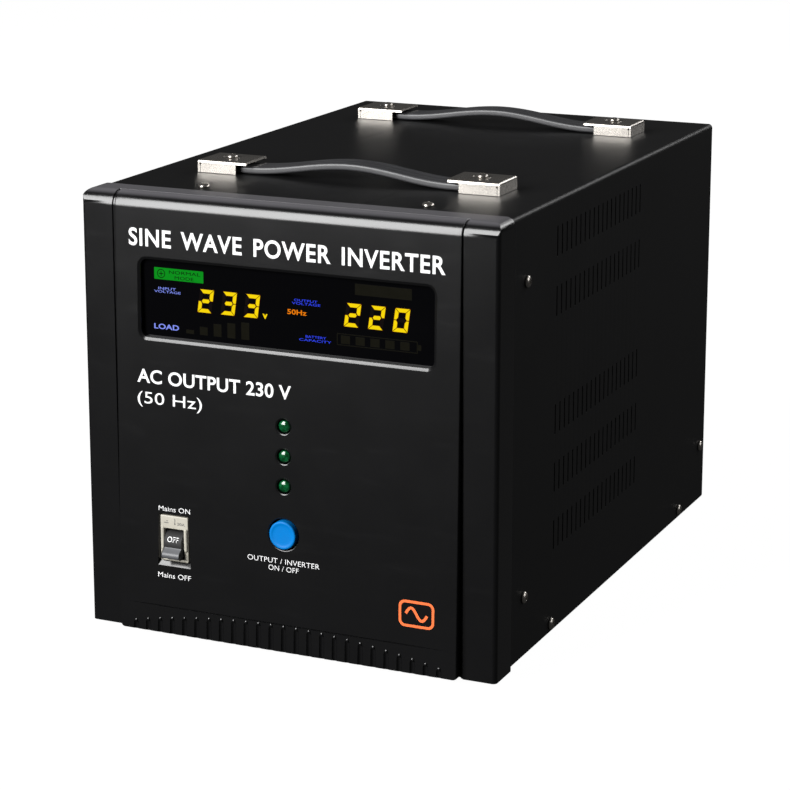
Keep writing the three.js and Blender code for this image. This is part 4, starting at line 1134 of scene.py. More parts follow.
dress("base_tray", black_paint)
foot_rubber = dull_finish(
    "foot_rubber", "foot_rubber", (0.008, 0.008, 0.008, 1), (0.02, 0.02, 0.02, 1), 0.75, 0.9
)
for node in sorted(name for name in frame["nodes"] if name.startswith("foot_")):
    low, high = span(node)
    radius = (high.x - low.x) / 2
    tall = high.z - low.z
    profile = [(0, 1.6), (3.2, 1.6), (3.4, 0.3), (3.9, 0)]
    profile += [(radius - 2.3, 0), (radius - 1.6, 0.2), (radius - 1.1, 0.7), (radius - 0.5, tall - 1.6)]
    profile += [(radius - 0.1, tall - 1.2), (radius, tall - 0.8), (radius, tall), (0, tall)]
    shape = shifted(turned(profile, 56), x=(low.x + high.x) / 2, y=(low.y + high.y) / 2, z=low.z)
    add_piece("rubber_" + node, shape, foot_rubber, replaced=[node])

# ---------------------------------------------------------------- screws
# Pan-head machine screws with a cross recess, rolled steel with bright nickel plate. The case
# screws are short; the four through the handles are long enough to reach the case.

bright_nickel = bare_metal(
    "bright_nickel", "bright_nickel", (0.37, 0.345, 0.315, 1), (0.47, 0.445, 0.41, 1), 0.2, metallic=0.93
)
head_radius = 4.0
head_height = 2.4


def screw_shape(length):
    """A screw standing on its head's underside at height 0."""
    dome = head_height - 0.5
    turns = (1.35, 1.1, 0.85, 0.6, 0.35)
    crown = [(head_radius * math.sin(angle), 0.5 + dome * math.cos(angle)) for angle in turns]
    profile = [(0, -length), (1.4, -length), (1.7, -length + 0.5)]
    turn = -length + 0.8
    while turn < -1.0:
        profile += [(1.65, turn), (2.0, turn + 0.35)]
        turn += 0.7
    profile += [(1.8, -0.3), (1.8, 0), (head_radius - 0.25, 0), (head_radius, 0.3)] + crown
    head = turned(profile + [(0, head_height)], 40)
    arm, half, deep = 2.3, 0.5, 1.5
    low, high = head_height - deep, head_height + 1.2
    taper = turned([(0, low - 1), (1.0, low - 1), (3.2, high), (0, high)], 24)
    cross = carved(block((-arm, -half, low), (arm, half, head_height + 1)), taper, "INTERSECT")
    other = cross.copy()
    bmesh.ops.rotate(other, cent=(0, 0, 0), matrix=Matrix.Rotation(math.pi / 2, 3, "Z"), verts=other.verts)
    return carved(carved(head, cross), other)


def add_screw(node, name, length, out, spin):
    """A screw in place of its CAD node, with its head facing the way that out turns +Z to."""
    low, high = span(node)
    head = Vector(((low.x + high.x) / 2, (low.y + high.y) / 2, (low.z + high.z) / 2))
    direction = out @ Vector((0, 0, 1))
    head += direction * ((high - low).dot(Vector([abs(part) for part in direction])) / 2 - head_height)
    placed = shifted(screw_shape(length), *head, matrix=out @ turning("Z", spin))
    add_piece(name, placed, bright_nickel, replaced=[node])


random.seed(7)
for node, spot in side_screws.items():
    out = turning("Y", 90 if spot.x > 0 else -90)
    add_screw(node, node.replace("screw", "case_screw"), 7.9, out, random.uniform(0, 90))
for node in top_screws:
    add_screw(node, node.replace("screw", "case_screw"), 7.9, Matrix(), random.uniform(0, 90))
for node in handle_screws:
    add_screw(node, node.replace("screw", "fixing"), 17.9, Matrix(), random.uniform(0, 90))

# ---------------------------------------------------------------- handles
# Two strap handles. Each end is a folded nickel-plated bracket with a notch where its flanges
# meet and a dimple round its screw, clamping a ribbed black strap that bows up in the middle.

bracket_sheet = 1.5
bracket_fold = 2.2
tongue = 8.0


def folded_lid(length, depth, height, fold, inner_end):
    """A block with its long top edges and its outer top edge rolled over."""
    half = depth / 2
    across = [(-half, -4), (half, -4)]
    across += quarter(half - fold, height - fold, fold, 0, 90, 6)
    across += quarter(fold - half, height - fold, fold, 90, 180, 6)
    end = length / 2
    along = [(inner_end, -4), (end, -4)] + quarter(end - fold, height - fold, fold, 0, 90, 6)
    along.append((inner_end, height))
    return carved(prism(across, inner_end, end, "X"), prism(along, -half - 1, half + 1), "INTERSECT")


def bracket_shape(length, depth, height):
    """A bracket about the middle of its foot, with its outer end along +X."""
    under = height - bracket_sheet
    end = length / 2
    whole = folded_lid(length, depth, height, bracket_fold, -end)
    inside = folded_lid(length - 2 * bracket_sheet, depth - 2 * bracket_sheet, under, 0.8, -end - 5)
    whole = carved(whole, inside)
    whole = carved(whole, block((-end - 1, -depth, -5), (tongue - end, depth, under - 0.7)))
    whole = carved(whole, block((-length, -depth, -5), (length, depth, 0)))
    for side in (-1, 1):
        edge = side * depth / 2
        inner, outer = sorted((edge - side * 2.2, edge + side))
        whole = carved(whole, block((end - 2.0, inner, -1), (end - 1.6, outer, under - 1.4)))
        relief = shifted(turned([(0, -3), (0.75, -3), (0.75, 3), (0, 3)], 20), matrix=toward_front)
        whole = carved(whole, shifted(relief, x=end - 1.9, y=edge, z=under - 1.5))
    dimple = circle(0.8, 6.4, height + 0.5, 12)
    whole = carved(whole, turned(dimple + dimple[:1], 48))
    hole = turned([(0, -1), (screw_hole, -1), (screw_hole, height + 1), (0, height + 1)], 24)
    return softened(carved(whole, hole), 0.18, steps=2, above=50)


def strap_finish():
    finish = Finish("strap_rubber", "strap_rubber")
    grain = finish.noise(0.5, detail=3)
    lines = finish.noise(1.2, detail=3, stretch=(0.05, 1, 1))
    dust = finish.noise(20, detail=4)
    color = finish.blend((0.024, 0.024, 0.026, 1), (0.048, 0.048, 0.051, 1), lines * 0.6 + dust * 0.4)
    roughness = 0.30 + 0.08 * grain + 0.08 * dust
    return finish.surface(color, roughness, normal=finish.relief(grain * 0.5 + lines * 0.5, 0.02))


strap_rubber = strap_finish()


def strap_section(width, thick):
    """Across the strap: a flat back with round edges and three soft ribs with grooves between."""
    half = width / 2
    groove_deep = 0.9
    points = quarter(-half + 1.4, 1.4, 1.4, 270, 180, 4)
    points += quarter(-half + 1.8, thick - 1.8, 1.8, 180, 100, 5)
    steps = 30
    for step in range(steps + 1):
        v = (-half + 2.2) + (width - 4.4) * step / steps
        wave = math.cos(v / (half - 2.2) * math.pi * 2)
        points.append((v, thick - groove_deep * max(0.0, -wave) ** 2))
    points += quarter(half - 1.8, thick - 1.8, 1.8, 80, 0, 5)
    points += quarter(half - 1.4, 1.4, 1.4, 0, -90, 4)
    return points


def strap_shape(node, flat_from):
    """The strap's section swept along its bow."""
    low, high = span(node)
    thick = 5.0
    rise = high.z - low.z - thick
    middle = (low.y + high.y) / 2
    section = strap_section(high.y - low.y, thick)
    shape = bmesh.new()
    stations = 96
    rings = []
    for number in range(stations + 1):
        x = low.x + (high.x - low.x) * number / stations
        bow, slope = 0.0, 0.0
        if abs(x) < flat_from:
            turn = math.pi * x / flat_from
            bow = rise * (1 + math.cos(turn)) / 2
            slope = -rise * math.pi / flat_from / 2 * math.sin(turn)
        lean_x = -slope / math.hypot(1, slope)
        lean_z = 1 / math.hypot(1, slope)
        rings.append([
            shape.verts.new((x + h * lean_x, middle + v, low.z + bow + h * lean_z)) for v, h in section
        ])
    for before, after in zip(rings, rings[1:]):
        for i in range(len(section)):
            shape.faces.new((before[i - 1], before[i], after[i], after[i - 1]))
    shape.faces.new(rings[0])
    shape.faces.new(rings[-1])
    bmesh.ops.recalc_face_normals(shape, faces=shape.faces)
    return shape


for place in ("front", "rear"):
    inner = span(f"handle_bracket_{place}_right")[0].x
    add_piece(f"strap_{place}", strap_shape(f"handle_strap_{place}", inner), strap_rubber,
              replaced=[f"handle_strap_{place}"])
    for hand in ("left", "right"):
        node = f"handle_bracket_{place}_{hand}"
        low, high = span(node)
        size = high - low
        spot = ((low.x + high.x) / 2, (low.y + high.y) / 2, low.z)
        shape = shifted(bracket_shape(*size), *spot, matrix=turning("Z", 0 if hand == "right" else 180))
        add_piece(f"strap_end_{place}_{hand}", shape, bright_nickel, replaced=[node], smooth=32)

# ---------------------------------------------------------------- front plate and board
# Behind the bezel is a galvanised sheet that the cover is screwed to. The display module, the
# lamps and the sprung switch sit on one circuit board in front of it.

zinc_steel = bare_metal(
    "zinc_steel", "zinc_steel", (0.30, 0.31, 0.32, 1), (0.52, 0.53, 0.54, 1), 0.32, (1, 1, 1)
)
dark_plastic = dull_finish(
    "dark_plastic", "dark_plastic", (0.0035, 0.0035, 0.0037, 1), (0.0065, 0.0065, 0.007, 1), 0.36, 0.4
)


def board_finish():
    finish = Finish("circuit_board", "circuit_board")
    weave = finish.noise(0.6, detail=1, stretch=(1, 1, 1))
    copper = finish.noise(5, detail=0, stretch=(1, 0.25, 0.25)).between(0.5, 0.52)
    color = finish.blend((0.004, 0.045, 0.014, 1), (0.008, 0.085, 0.026, 1), copper)
    return finish.surface(color, 0.28 + 0.12 * weave, normal=finish.relief(copper * 0.7 + weave * 0.3, 0.03))


circuit_board = board_finish()
dress("front_plate", zinc_steel)
dress("display_module", dark_plastic)
dress("power_switch", dark_plastic)
dress("front_board", circuit_board)

# ---------------------------------------------------------------- rear panel
# The back is one sheet with a flange bent forward down each side for the cover's screws, coated
# like the cover. It is pierced for the fan, the sockets, the inlet, the fuse and the two posts.

rear_low, rear_high = span("rear_panel")
rear_half = rear_high.x
rear_face = rear_high.y
rear_bend = 1.6
guard_low, guard_high = span("fan_guard")
fan_low, fan_high = span("fan_frame")
fan_across = (fan_low.x + fan_high.x) / 2
fan_up = (fan_low.z + fan_high.z) / 2
fan_bore = 57.0
fan_reach = 52.5
fan_holes = [(fan_across + u, fan_up + v) for u in (-fan_reach, fan_reach) for v in (-fan_reach, fan_reach)]
sockets = {node: middle_of(node) for node in ("output_socket_left", "output_socket_right")}
inlet_low, inlet_high = span("mains_inlet")
inlet_spot = middle_of("mains_inlet")
fuse_low, fuse_high = span("fuse_holder")
fuse_spot = middle_of("fuse_holder")
posts = {pole: middle_of("battery_insulator_" + pole) for pole in ("negative", "positive")}


def on_back(level):
    """Maps a plate's (across, up, depth) to a sheet whose outside faces the back at y = level."""
    return lambda point: Vector((point.x, level - point.z, point.y))


def around(y):
    """Distance across the unfolded back sheet to a place that far back on a flange."""
    return rear_half - rear_bend + math.pi / 2 * rear_bend + (rear_face - y) - rear_bend


def rear_shape():
    flange_foot = span("base_tray")[1].z + 0.3
    reach = around(rear_low.y)
    notch = rear_half - 0.2
    foot, crown = rear_low.z, rear_high.z
    outline = [(-notch, foot), (notch, foot), (notch, flange_foot), (reach, flange_foot), (reach, crown)]
    outline += [(-reach, crown), (-reach, flange_foot), (-notch, flange_foot)]
    straight = [(0.2, 0), (0, 0.2), (0, sheet_steel)]
    edges = [rim(outline, [(0, 0), (0, sheet_steel)])]
    edges.append(rim(circle(fan_bore, fan_across, fan_up, 96)[::-1], straight))
    for spot in sockets.values():
        edges.append(rim(circle(22.8, spot.x, spot.z, 48)[::-1], straight))
    edges.append(rim(rectangle(29.6, 20.6, 0.6, inlet_spot.x, inlet_spot.z, 3)[::-1], straight))
    edges.append(rim(circle(6.3, fuse_spot.x, fuse_spot.z, 32)[::-1], straight))
    for spot in posts.values():
        edges.append(rim(circle(7.3, spot.x, spot.z, 32)[::-1], straight))
    for spot in side_screws.values():
        if spot.y > rear_low.y:
            side = 1 if spot.x > 0 else -1
            hole = circle(screw_hole, side * around(spot.y), spot.z, 16)
            edges.append(rim(hole[::-1], [(0, 0), (0, sheet_steel)]))

    def bent_back(point):
        x, inward = folded(point.x, point.z, rear_half, rear_bend)
        return Vector((x, rear_face - inward, point.y))

    return moved(bent_edges(plate(edges), rear_half, rear_bend, 4), bent_back)


add_piece("back_sheet", rear_shape(), black_paint, replaced=["rear_panel"], smooth=35)

# ---------------------------------------------------------------- fan
# A square moulded fan bolted inside the back: a frame with four struts that carry the motor, a
# seven-bladed wheel turning on it, and a guard of welded, nickel-plated wire outside.


def fan_frame_shape():
    size = fan_high.x - fan_low.x
    deep = fan_high.y - fan_low.y
    edges = [rim(rectangle(size, size, 5, fan_across, fan_up, 5), rounding(0.8, deep, 0.8, 2))]
    edges.append(rim(circle(fan_bore, fan_across, fan_up, 96)[::-1], rounding(0.6, deep, 0.6, 2)))
    for hole in fan_holes:
        edges.append(rim(circle(2.2, *hole, 16)[::-1], [(0.3, 0), (0, 0.3), (0, deep)]))
    frame_plate = moved(plate(edges), on_back(fan_high.y))
    for angle in (45, 135, 225, 315):
        waist = prism(circle(11, 0, 0, 24), fan_low.y + 4, fan_high.y - 4)
        spot = turning("Y", angle) @ Vector((size * 0.94, 0, 0))
        frame_plate = carved(frame_plate, shifted(waist, x=fan_across + spot.x, z=fan_up + spot.z))
    motor = [(0, 0), (19.6, 0), (20, 0.4), (20, 4.6), (19.6, 5), (0, 5)]
    motor = shifted(turned(motor, 64), x=fan_across, y=fan_low.y + 5, z=fan_up, matrix=toward_front)
    struts = []
    for angle in (0, 90, 180, 270):
        strut = softened(block((18, fan_low.y + 0.1, -2.5), (fan_bore + 1.4, fan_low.y + 4.9, 2.5)), 0.6)
        struts.append(shifted(strut, x=fan_across, z=fan_up, matrix=turning("Y", angle)))
    return together(frame_plate, motor, *struts)


add_piece("fan_surround", fan_frame_shape(), dark_plastic, replaced=["fan_frame"])

wheel_low, wheel_high = span("fan_rotor")
hub_radius = 20.0
tip_radius = fan_bore - 2.5
wheel_depth = wheel_high.y - wheel_low.y


def blade_shape(start):
    """A swept, cambered blade, thin at its edges, as (across, back, up) about the wheel's middle."""
    rows, columns = 10, 12
    shape = bmesh.new()
    faces_of = []
    for face in (-1, 1):
        grid = []
        for row in range(rows + 1):
            share = row / rows
            radius = hub_radius * 0.93 + (tip_radius - hub_radius * 0.93) * share
            wide = 13 + 13 * share
            line = []
            for column in range(columns + 1):
                chord = column / columns - 0.5
                camber = 2.2 * (1 - 4 * chord * chord)
                thick = 0.18 + 0.62 * math.sqrt(max(0.0, 1 - 4 * chord * chord))
                turn = start + math.radians(14) * share + (chord * wide + camber * 0.5) / radius
                back = -chord * (wheel_depth - 3.0) * (1 - 0.12 * share) + camber * 0.6 + face * thick
                line.append(shape.verts.new((radius * math.cos(turn), back, radius * math.sin(turn))))
            grid.append(line)
        faces_of.append(grid)
    for grid in faces_of:
        for upper, lower in zip(grid, grid[1:]):
            for i in range(columns):
                shape.faces.new((upper[i], upper[i + 1], lower[i + 1], lower[i]))
    loops = []
    for grid in faces_of:
        loop = grid[0][:] + [line[-1] for line in grid[1:]]
        loops.append(loop + grid[-1][-2::-1] + [line[0] for line in grid[-2:0:-1]])
    for i in range(len(loops[0])):
        shape.faces.new((loops[0][i - 1], loops[0][i], loops[1][i], loops[1][i - 1]))
    bmesh.ops.recalc_face_normals(shape, faces=shape.faces)
    return shape


def wheel_shape():
    half = wheel_depth / 2
    shoulder = 2.6
    cup = [(0, -half), (17.6, -half), (17.9, -half + 0.2), (17.9, -half + 1.2)]
    cup += [(hub_radius - 0.5, -half + 1.2), (hub_radius, -half + 1.7), (hub_radius, half - shoulder)]
    for turn in (0.4, 0.8, 1.2):
        out, up = shoulder * math.cos(turn), shoulder * math.sin(turn)
        cup.append((hub_radius - shoulder + out, half - shoulder + up))
    cup += [(hub_radius - 2.8, half), (13.2, half), (12.8, half - 0.4), (12.4, half - 0.4)]
    cup += [(12, half), (0, half)]
    hub = shifted(turned(cup, 72), matrix=toward_back)
    blades = [blade_shape(2 * math.pi * number / 7) for number in range(7)]
    whole = together(hub, *blades)
    return shifted(whole, x=fan_across, y=(wheel_low.y + wheel_high.y) / 2, z=fan_up)


add_piece("fan_blades", wheel_shape(), dark_plastic, "fan_wheel", ["fan_rotor"])

wire = (guard_high.y - guard_low.y) / 2
guard_level = (guard_low.y + guard_high.y) / 2
guard_rings = [fan_bore - 2 * wire - number * 16 for number in range(3)]


def guard_shape():
    shapes = []
    for radius in guard_rings:
        section = circle(wire, radius, 0, 12)
        shapes.append(turned(section + section[:1], 120))
    for angle in (45, 135, 225, 315):
        rod = prism(circle(wire * 0.95, 0, 0, 12), guard_rings[-1] - 1, 71.3, "X")
        eye = [(2.6, -wire), (3.5, -wire), (3.7, 0), (3.5, wire), (2.6, wire), (2.4, 0)]
        rod = together(rod, shifted(turned(eye + eye[:1], 32), x=74.2))
        shapes.append(shifted(rod, matrix=turning("Z", angle)))
    return shifted(together(*shapes), x=fan_across, y=guard_level, z=fan_up, matrix=toward_back)


add_piece("wire_guard", guard_shape(), bright_nickel, replaced=["fan_guard"], smooth=50)

# ---------------------------------------------------------------- sockets, inlet and fuse
# Two round-welled mains sockets with spring earth clips, a three-pin appliance inlet below them
# and a screw-cap fuse holder. All are black mouldings screwed or nutted to the back sheet.

socket_face = sockets["output_socket_left"].y * 2 - span("output_socket_left")[0].y
well_radius, well_depth = 19.5, 17.0


def socket_shape(node, spot):
    low, high = span(node)
    size = high.x - low.x
    face = plate([
        rim(rectangle(size, size, 4, spot.x, spot.z, 6), rounding(1.0, 3.0)),
        rim(circle(well_radius + 0.1, spot.x, spot.z, 72)[::-1], rounding(0.5, 3.0)),
    ])
    back = low.y - high.y
    bottom = -well_depth
    cup = [(0, bottom), (well_radius - 0.8, bottom), (well_radius, bottom + 0.8), (well_radius, -0.6)]
    cup += [(22.4, -0.6), (22.4, back + 1), (21.4, back), (0, back)]
    cup = turned(cup, 72)
    pin_hole = [(0, bottom - 8), (2.5, bottom - 8), (2.5, bottom - 0.6), (3.3, bottom + 0.2)]
    pin_hole += [(3.3, bottom + 2), (0, bottom + 2)]
    ridges = []
    for side in (-1, 1):
        cup = carved(cup, shifted(turned(pin_hole, 24), x=side * 9.5))
        wall = side * well_radius
        ridges.append(softened(block((wall - 1.6, -2.4, bottom), (wall + 1.6, 2.4, -1.2)), 0.4))
    cup = shifted(together(cup, *ridges), x=spot.x, y=high.y, z=spot.z, matrix=toward_back)
    return together(moved(face, on_back(high.y)), cup)


def clip_shape(spot, level):
    """The two sprung earth clips of a socket, one at the top of its well and one at the bottom."""
    shapes = []
    for side in (-1, 1):
        near, far = side * (well_radius - 0.4), side * (well_radius - 3.4)
        path = [(near, -1.6), (near, -15), (near - side * 0.9, -15), (far, -9), (near - side * 1.4, -2.2)]
        path = [(level + depth, spot.z + up) for up, depth in path]
        shapes.append(softened(prism(path, spot.x - 2.2, spot.x + 2.2, "X"), 0.15))
    return together(*shapes)


for node, spot in sockets.items():
    hand = node.rsplit("_", 1)[1]
    add_piece("socket_" + hand, socket_shape(node, spot), dark_plastic, replaced=[node])
    add_piece("earth_clips_" + hand, clip_shape(spot, span(node)[1].y), bright_nickel)


def inlet_shape():
    x, z = inlet_spot.x, inlet_spot.z
    level = inlet_high.y
    width, height, cut_off = 25.0, 16.0, 3.6
    a, b = width / 2, height / 2
    mouth = [(a, -b), (a, b - cut_off), (a - cut_off, b), (cut_off - a, b), (-a, b - cut_off), (-a, -b)]
    mouth = [(x + u, z + v) for u, v in mouth]
    face = plate([
        rim(rectangle(48, 24, 5, x, z, 6), rounding(0.8, 3.0)),
        rim(mouth[::-1], [(0.5, 0), (0, 0.5), (0, 3.0)]),
    ])
    back = level - inlet_low.y
    body = plate([rim(rectangle(29, 20, 1.5, x, z, 4), [(0, 0), (0, back - 2.6)])])
    well = prism(mouth, level - 17, level + 1)
    body = carved(moved(body, on_back(level - 2.6)), well)
    return together(moved(face, on_back(level)), body)


add_piece("inlet_moulding", inlet_shape(), dark_plastic, replaced=["mains_inlet"])
blades = []
for u, v in [(-7, -4), (0, 0), (7, -4)]:
    low = (inlet_spot.x + u - 1, inlet_high.y - 18, inlet_spot.z + v)
    high = (inlet_spot.x + u + 1, inlet_high.y - 5, inlet_spot.z + v + 4)
    blades.append(softened(block(low, high), 0.5))
add_piece("inlet_blades", together(*blades), bright_nickel)

fuse_length = fuse_high.y - fuse_low.y
fuse_cap = [(0, -fuse_length), (5.2, -fuse_length), (5.2, -22), (6, -21.6), (6, -9.2), (8, -9.2)]
fuse_cap += [(8, -1.0), (7.2, -0.2), (5.6, 0), (0, 0)]
fuse_body = turned(fuse_cap, 64)
for number in range(20):
    flute = shifted(turned([(0, -8.4), (0.5, -8.4), (0.5, 1), (0, 1)], 8), x=8.15)
    fuse_body = carved(fuse_body, shifted(flute, matrix=turning("Z", number * 18)))
fuse_body = carved(fuse_body, block((-5, -0.7, -1.3), (5, 0.7, 1)))
fuse_body = shifted(fuse_body, x=fuse_spot.x, y=fuse_high.y, z=fuse_spot.z, matrix=toward_back)
add_piece("fuse_cap", fuse_body, dark_plastic, replaced=["fuse_holder"])

# ---------------------------------------------------------------- battery posts
# Two threaded brass studs, each in a moulded insulator, red for positive and black for negative,
# with a hexagon head inside and a washer and nut outside to clamp a cable lug.

red_plastic = dull_finish(
    "red_plastic", "red_plastic", (0.16, 0.004, 0.003, 1), (0.24, 0.008, 0.006, 1), 0.34, 0.4
)
post_brass = bare_metal("post_brass", "post_brass", (0.50, 0.32, 0.10, 1), (0.78, 0.56, 0.24, 1), 0.22)


def thread(radius, start, end, pitch=1.25, deep=0.45):
    """Ridges of a thread as (radius, height) points from start to end."""
    points = []
    height = start
    while height + pitch < end:
        points += [(radius - deep, height), (radius, height + pitch / 2)]
        height += pitch
    return points


def hexagon(radius, low, high):
    """A nut or a head with its corners taken off."""
    cone = radius * 0.9
    body = prism(circle(radius, 0, 0, 6), low, high, "Z")
    wide = radius + 0.1
    ends = [(0, low), (cone, low), (wide, low + 0.7), (wide, high - 0.7), (cone, high), (0, high)]
    return carved(body, turned(ends, 48), "INTERSECT")


for pole, spot in posts.items():
    low, high = span("battery_insulator_" + pole)
    inner = low.y - high.y
    seat = rear_face + 0.3 - high.y
    insulator = [(4.3, inner), (7, inner), (7, seat), (17, seat), (17, -3.4), (16.7, -2.9), (14.2, -2.9)]
    insulator += [(13.7, -2.4), (12.4, -0.5), (11.8, 0), (4.8, 0), (4.3, -0.5), (4.3, inner)]
    shape = turned(insulator, 72)
    for number in range(24):
        flute = prism(circle(0.8, 17.2, 0, 10), seat - 1, -2.6, "Z")
        shape = carved(shape, shifted(flute, matrix=turning("Z", number * 15)))
    shape = shifted(shape, x=spot.x, y=high.y, z=spot.z, matrix=toward_back)
    add_piece("insulator_" + pole, shape, red_plastic if pole == "positive" else dark_plastic,
              replaced=["battery_insulator_" + pole])
    stud_low, stud_high = span("battery_stud_" + pole)
    start, end = stud_low.y - high.y, stud_high.y - high.y
    bolt = [(0, start), (3.4, start), (3.9, start + 0.5)] + thread(4.0, start + 0.6, end - 0.9)
    bolt += [(3.9, end - 0.7), (3.3, end), (0, end)]
    head_back = inner - 0.3
    washer = turned([(4.1, 0.1), (8.4, 0.1), (8.6, 0.3), (8.6, 1.5), (8.4, 1.7), (4.1, 1.7), (4.1, 0.1)], 48)
    parts = [turned(bolt, 32), hexagon(7.5, head_back - 6, head_back), washer, hexagon(7.5, 1.8, 8.0)]
    shape = shifted(together(*parts), x=spot.x, y=high.y, z=spot.z, matrix=toward_back)
    add_piece("post_" + pole, shape, post_brass, replaced=["battery_stud_" + pole], smooth=30)

# ---------------------------------------------------------------- back fixings and marks
# Small pan-head screws hold the guard, the sockets and the inlet. Plain white words name each
# connection.

fixings = [(across, guard_high.y - 0.4, up) for across, up in fan_holes]
for spot in sockets.values():
    fixings += [(spot.x + side * 20.4, socket_face, spot.z + side * 20.4) for side in (-1, 1)]
fixings += [(inlet_spot.x + side * 19.6, inlet_high.y, inlet_spot.z) for side in (-1, 1)]
heads = []
small = Matrix.Scale(0.78, 4)
for place in fixings:
    spin = turning("Z", random.uniform(0, 90))
    heads.append(shifted(screw_shape(5.0), *place, matrix=toward_back @ spin @ small))
add_piece("back_fixings", together(*heads), bright_nickel)

back_words = [
    ("AC OUTPUT", (sockets["output_socket_left"].x + sockets["output_socket_right"].x) / 2, 275.5, 30, 4.2),
    ("MAINS INPUT", inlet_spot.x, inlet_spot.z + 17, 30, 3.4),
    ("FUSE", fuse_spot.x, fuse_spot.z + 14, 12, 3.4),
    ("BATTERY", (posts["negative"].x + posts["positive"].x) / 2, posts["negative"].z + 28, 30, 4.2),
    ("AIR", fan_across, fan_low.z - 9, 9, 3.4),
]
words = []
for text, across, up, width, height in back_words:
    words.append(lettering(text, -width / 2, width / 2, up, up + height, 0.01))
    for corner in words[-1].verts:
        corner.co.x = across - corner.co.x
for pole, spot in posts.items():
    bars = [rectangle(6, 1.3, 0.2, spot.x, spot.z + 22, 2)]
    if pole == "positive":
        bars.append(rectangle(1.3, 6, 0.2, spot.x, spot.z + 22, 2))
    words += [plate([rim(bar, [(0, -0.04), (0, 0)])]) for bar in bars]
add_piece("back_print", moved(together(*words), on_back(rear_face + 0.02)), white_print, smooth=20)

# ---------------------------------------------------------------- power stage
# A finned aluminium extrusion stands on the tray with the power board and two large capacitors
# in dark blue shrink sleeves.


def can_finish():
    finish = Finish("capacitor_sleeve", "capacitor_sleeve")
    shrink = finish.noise(6, detail=3, stretch=(1, 1, 0.3))
    grain = finish.noise(0.6, detail=2)
    color = finish.blend((0.006, 0.012, 0.05, 1), (0.010, 0.02, 0.075, 1), shrink)
    return finish.surface(color, 0.24 + 0.1 * grain, normal=finish.relief(shrink, 0.05))


heatsink_aluminium = bare_metal(
    "heatsink_aluminium", "heatsink_aluminium", (0.42, 0.43, 0.44, 1), (0.62, 0.63, 0.64, 1), 0.38,
    (1, 0.05, 1),
)
capacitor_sleeve = can_finish()
dress("heatsink", heatsink_aluminium)
dress("power_board", circuit_board)
for node in ("capacitor_left", "capacitor_right"):
    low, high = span(node)
    radius, tall = (high.x - low.x) / 2, high.z - low.z
    can = [(0, 0), (radius - 0.6, 0), (radius, 0.6), (radius, 5), (radius - 1, 6.2), (radius, 7.4)]
    can += [(radius, tall - 1.2), (radius - 0.4, tall - 0.3), (radius - 1.2, tall), (radius - 2.2, tall)]
    can += [(radius - 2.6, tall - 0.6), (0, tall - 0.6)]
    can = shifted(turned(can, 56), x=(low.x + high.x) / 2, y=(low.y + high.y) / 2, z=low.z)
    add_piece(node.replace("capacitor", "can"), can, capacitor_sleeve, replaced=[node])

# ---------------------------------------------------------------- transformer
# A ring core wound with enamelled wire under clear tape, held down by a steel disc and one bolt
# through the tray.

coil_low, coil_high = span("transformer")
coil_middle = (coil_low + coil_high) / 2
coil_radius = (coil_high.x - coil_low.x) / 2


def winding_finish():
    finish = Finish("ring_winding", "ring_core")
    across = finish.axis("X") - coil_middle.x
    back = finish.axis("Y") - coil_middle.y
    turn = back.math("ARCTAN2", back, across)
    strands = turn.math("ABSOLUTE", turn.math("SINE", turn * 130))
    wander = finish.noise(9, detail=3)
    color = finish.blend((0.07, 0.018, 0.004, 1), (0.24, 0.075, 0.018, 1), strands * 0.7 + wander * 0.3)
    return finish.surface(color, 0.22 + 0.15 * wander, normal=finish.relief(strands, 0.5))


def coil_shape():
    tall = coil_high.z - coil_low.z
    inner = 32.0
    outside, inside = 14, 10
    section = quarter(coil_radius - outside, outside, outside, -90, 0, 6)
    section += quarter(coil_radius - outside, tall - outside, outside, 0, 90, 6)
    section += quarter(inner + inside, tall - inside, inside, 90, 180, 6)
    section += quarter(inner + inside, inside, inside, 180, 270, 6)
    return shifted(turned(section + section[:1], 96), x=coil_middle.x, y=coil_middle.y, z=coil_low.z)


add_piece("winding", coil_shape(), winding_finish(), replaced=["transformer"])
dress("transformer_plate", zinc_steel)
dress("transformer_bolt", zinc_steel)

# ---------------------------------------------------------------- floor and lights
# A white sweep that glows of its own, one tall soft wall in front on the left, and two weaker
# boxes on the right, one beside the unit and one behind it.

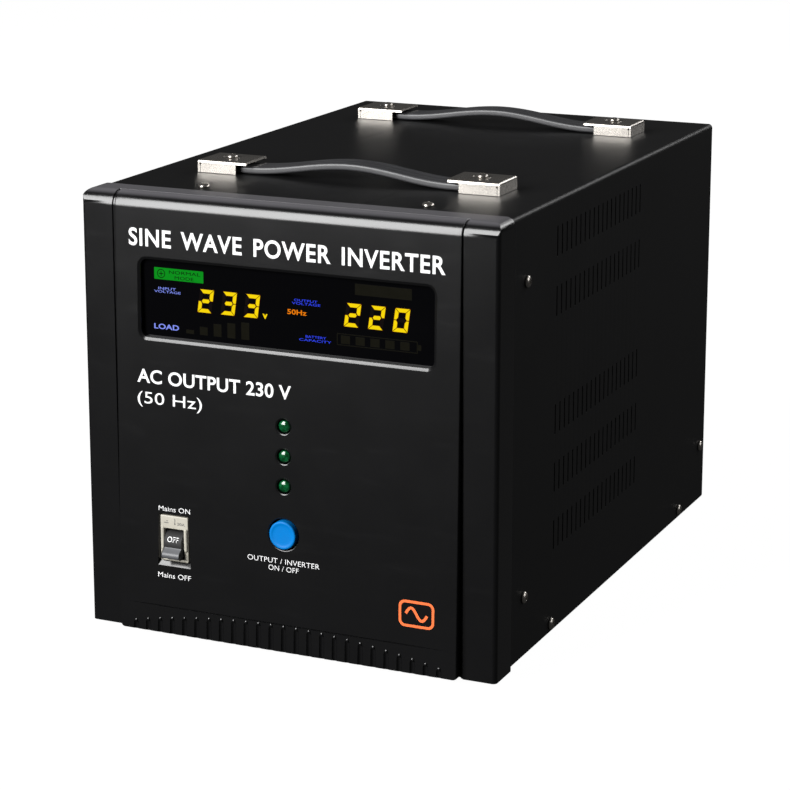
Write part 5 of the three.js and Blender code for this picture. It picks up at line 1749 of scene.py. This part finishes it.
floor_mesh = bpy.data.meshes.new("floor")
edge = 30.0
corners = [(-edge, -edge, 0), (edge, -edge, 0), (edge, edge, 0), (-edge, edge, 0)]
floor_mesh.from_pydata(corners, [], [(0, 1, 2, 3)])
floor = bpy.data.objects.new("floor", floor_mesh)
scene.collection.objects.link(floor)
floor.visible_glossy = False
floor.visible_diffuse = False
paper = Finish("floor", None)
fibres = paper.noise(900, detail=1)
paper.surface(
    paper.blend((0.06, 0.06, 0.06, 1), (0.07, 0.07, 0.07, 1), fibres), 0.9, Specular_IOR_Level=0.0,
    Emission_Color=(1, 1, 1, 1), Emission_Strength=0.98,
)
floor.data.materials.append(paper.material)

world = bpy.data.worlds.new("studio")
scene.world = world
world.use_nodes = True
studio = world.node_tree
seen = studio.nodes["Background"]
seen.inputs["Color"].default_value = (1, 1, 1, 1)
seen.inputs["Strength"].default_value = 1.0
unseen = studio.nodes.new("ShaderNodeBackground")
unseen.inputs["Color"].default_value = (1, 1, 1, 1)
unseen.inputs["Strength"].default_value = 0.04
ray = studio.nodes.new("ShaderNodeLightPath")
choice = studio.nodes.new("ShaderNodeMixShader")
studio.links.new(ray.outputs["Is Camera Ray"], choice.inputs[0])
studio.links.new(unseen.outputs[0], choice.inputs[1])
studio.links.new(seen.outputs[0], choice.inputs[2])
studio.links.new(choice.outputs[0], studio.nodes["World Output"].inputs["Surface"])


def soft_box(name, place, aim, size, power):
    light = bpy.data.lights.new(name, "AREA")
    light.shape = "RECTANGLE"
    light.size, light.size_y = size
    light.energy = power
    box = bpy.data.objects.new(name, light)
    box.location = place
    box.rotation_euler = (Vector(aim) - Vector(place)).to_track_quat("-Z", "Y").to_euler()
    scene.collection.objects.link(box)
    return box


soft_box("front_wall", (-1.5, -2.83, 1.95), (0, -0.23, 1.95), (1.8, 3.3), 300)
soft_box("side_box", (2.8, 0.8, 1.5), (0, 0, 0.2), (2.0, 2.0), 30)
soft_box("back_box", (1.4, 2.8, 1.9), (0, 0, 0.2), (1.6, 1.6), 40)
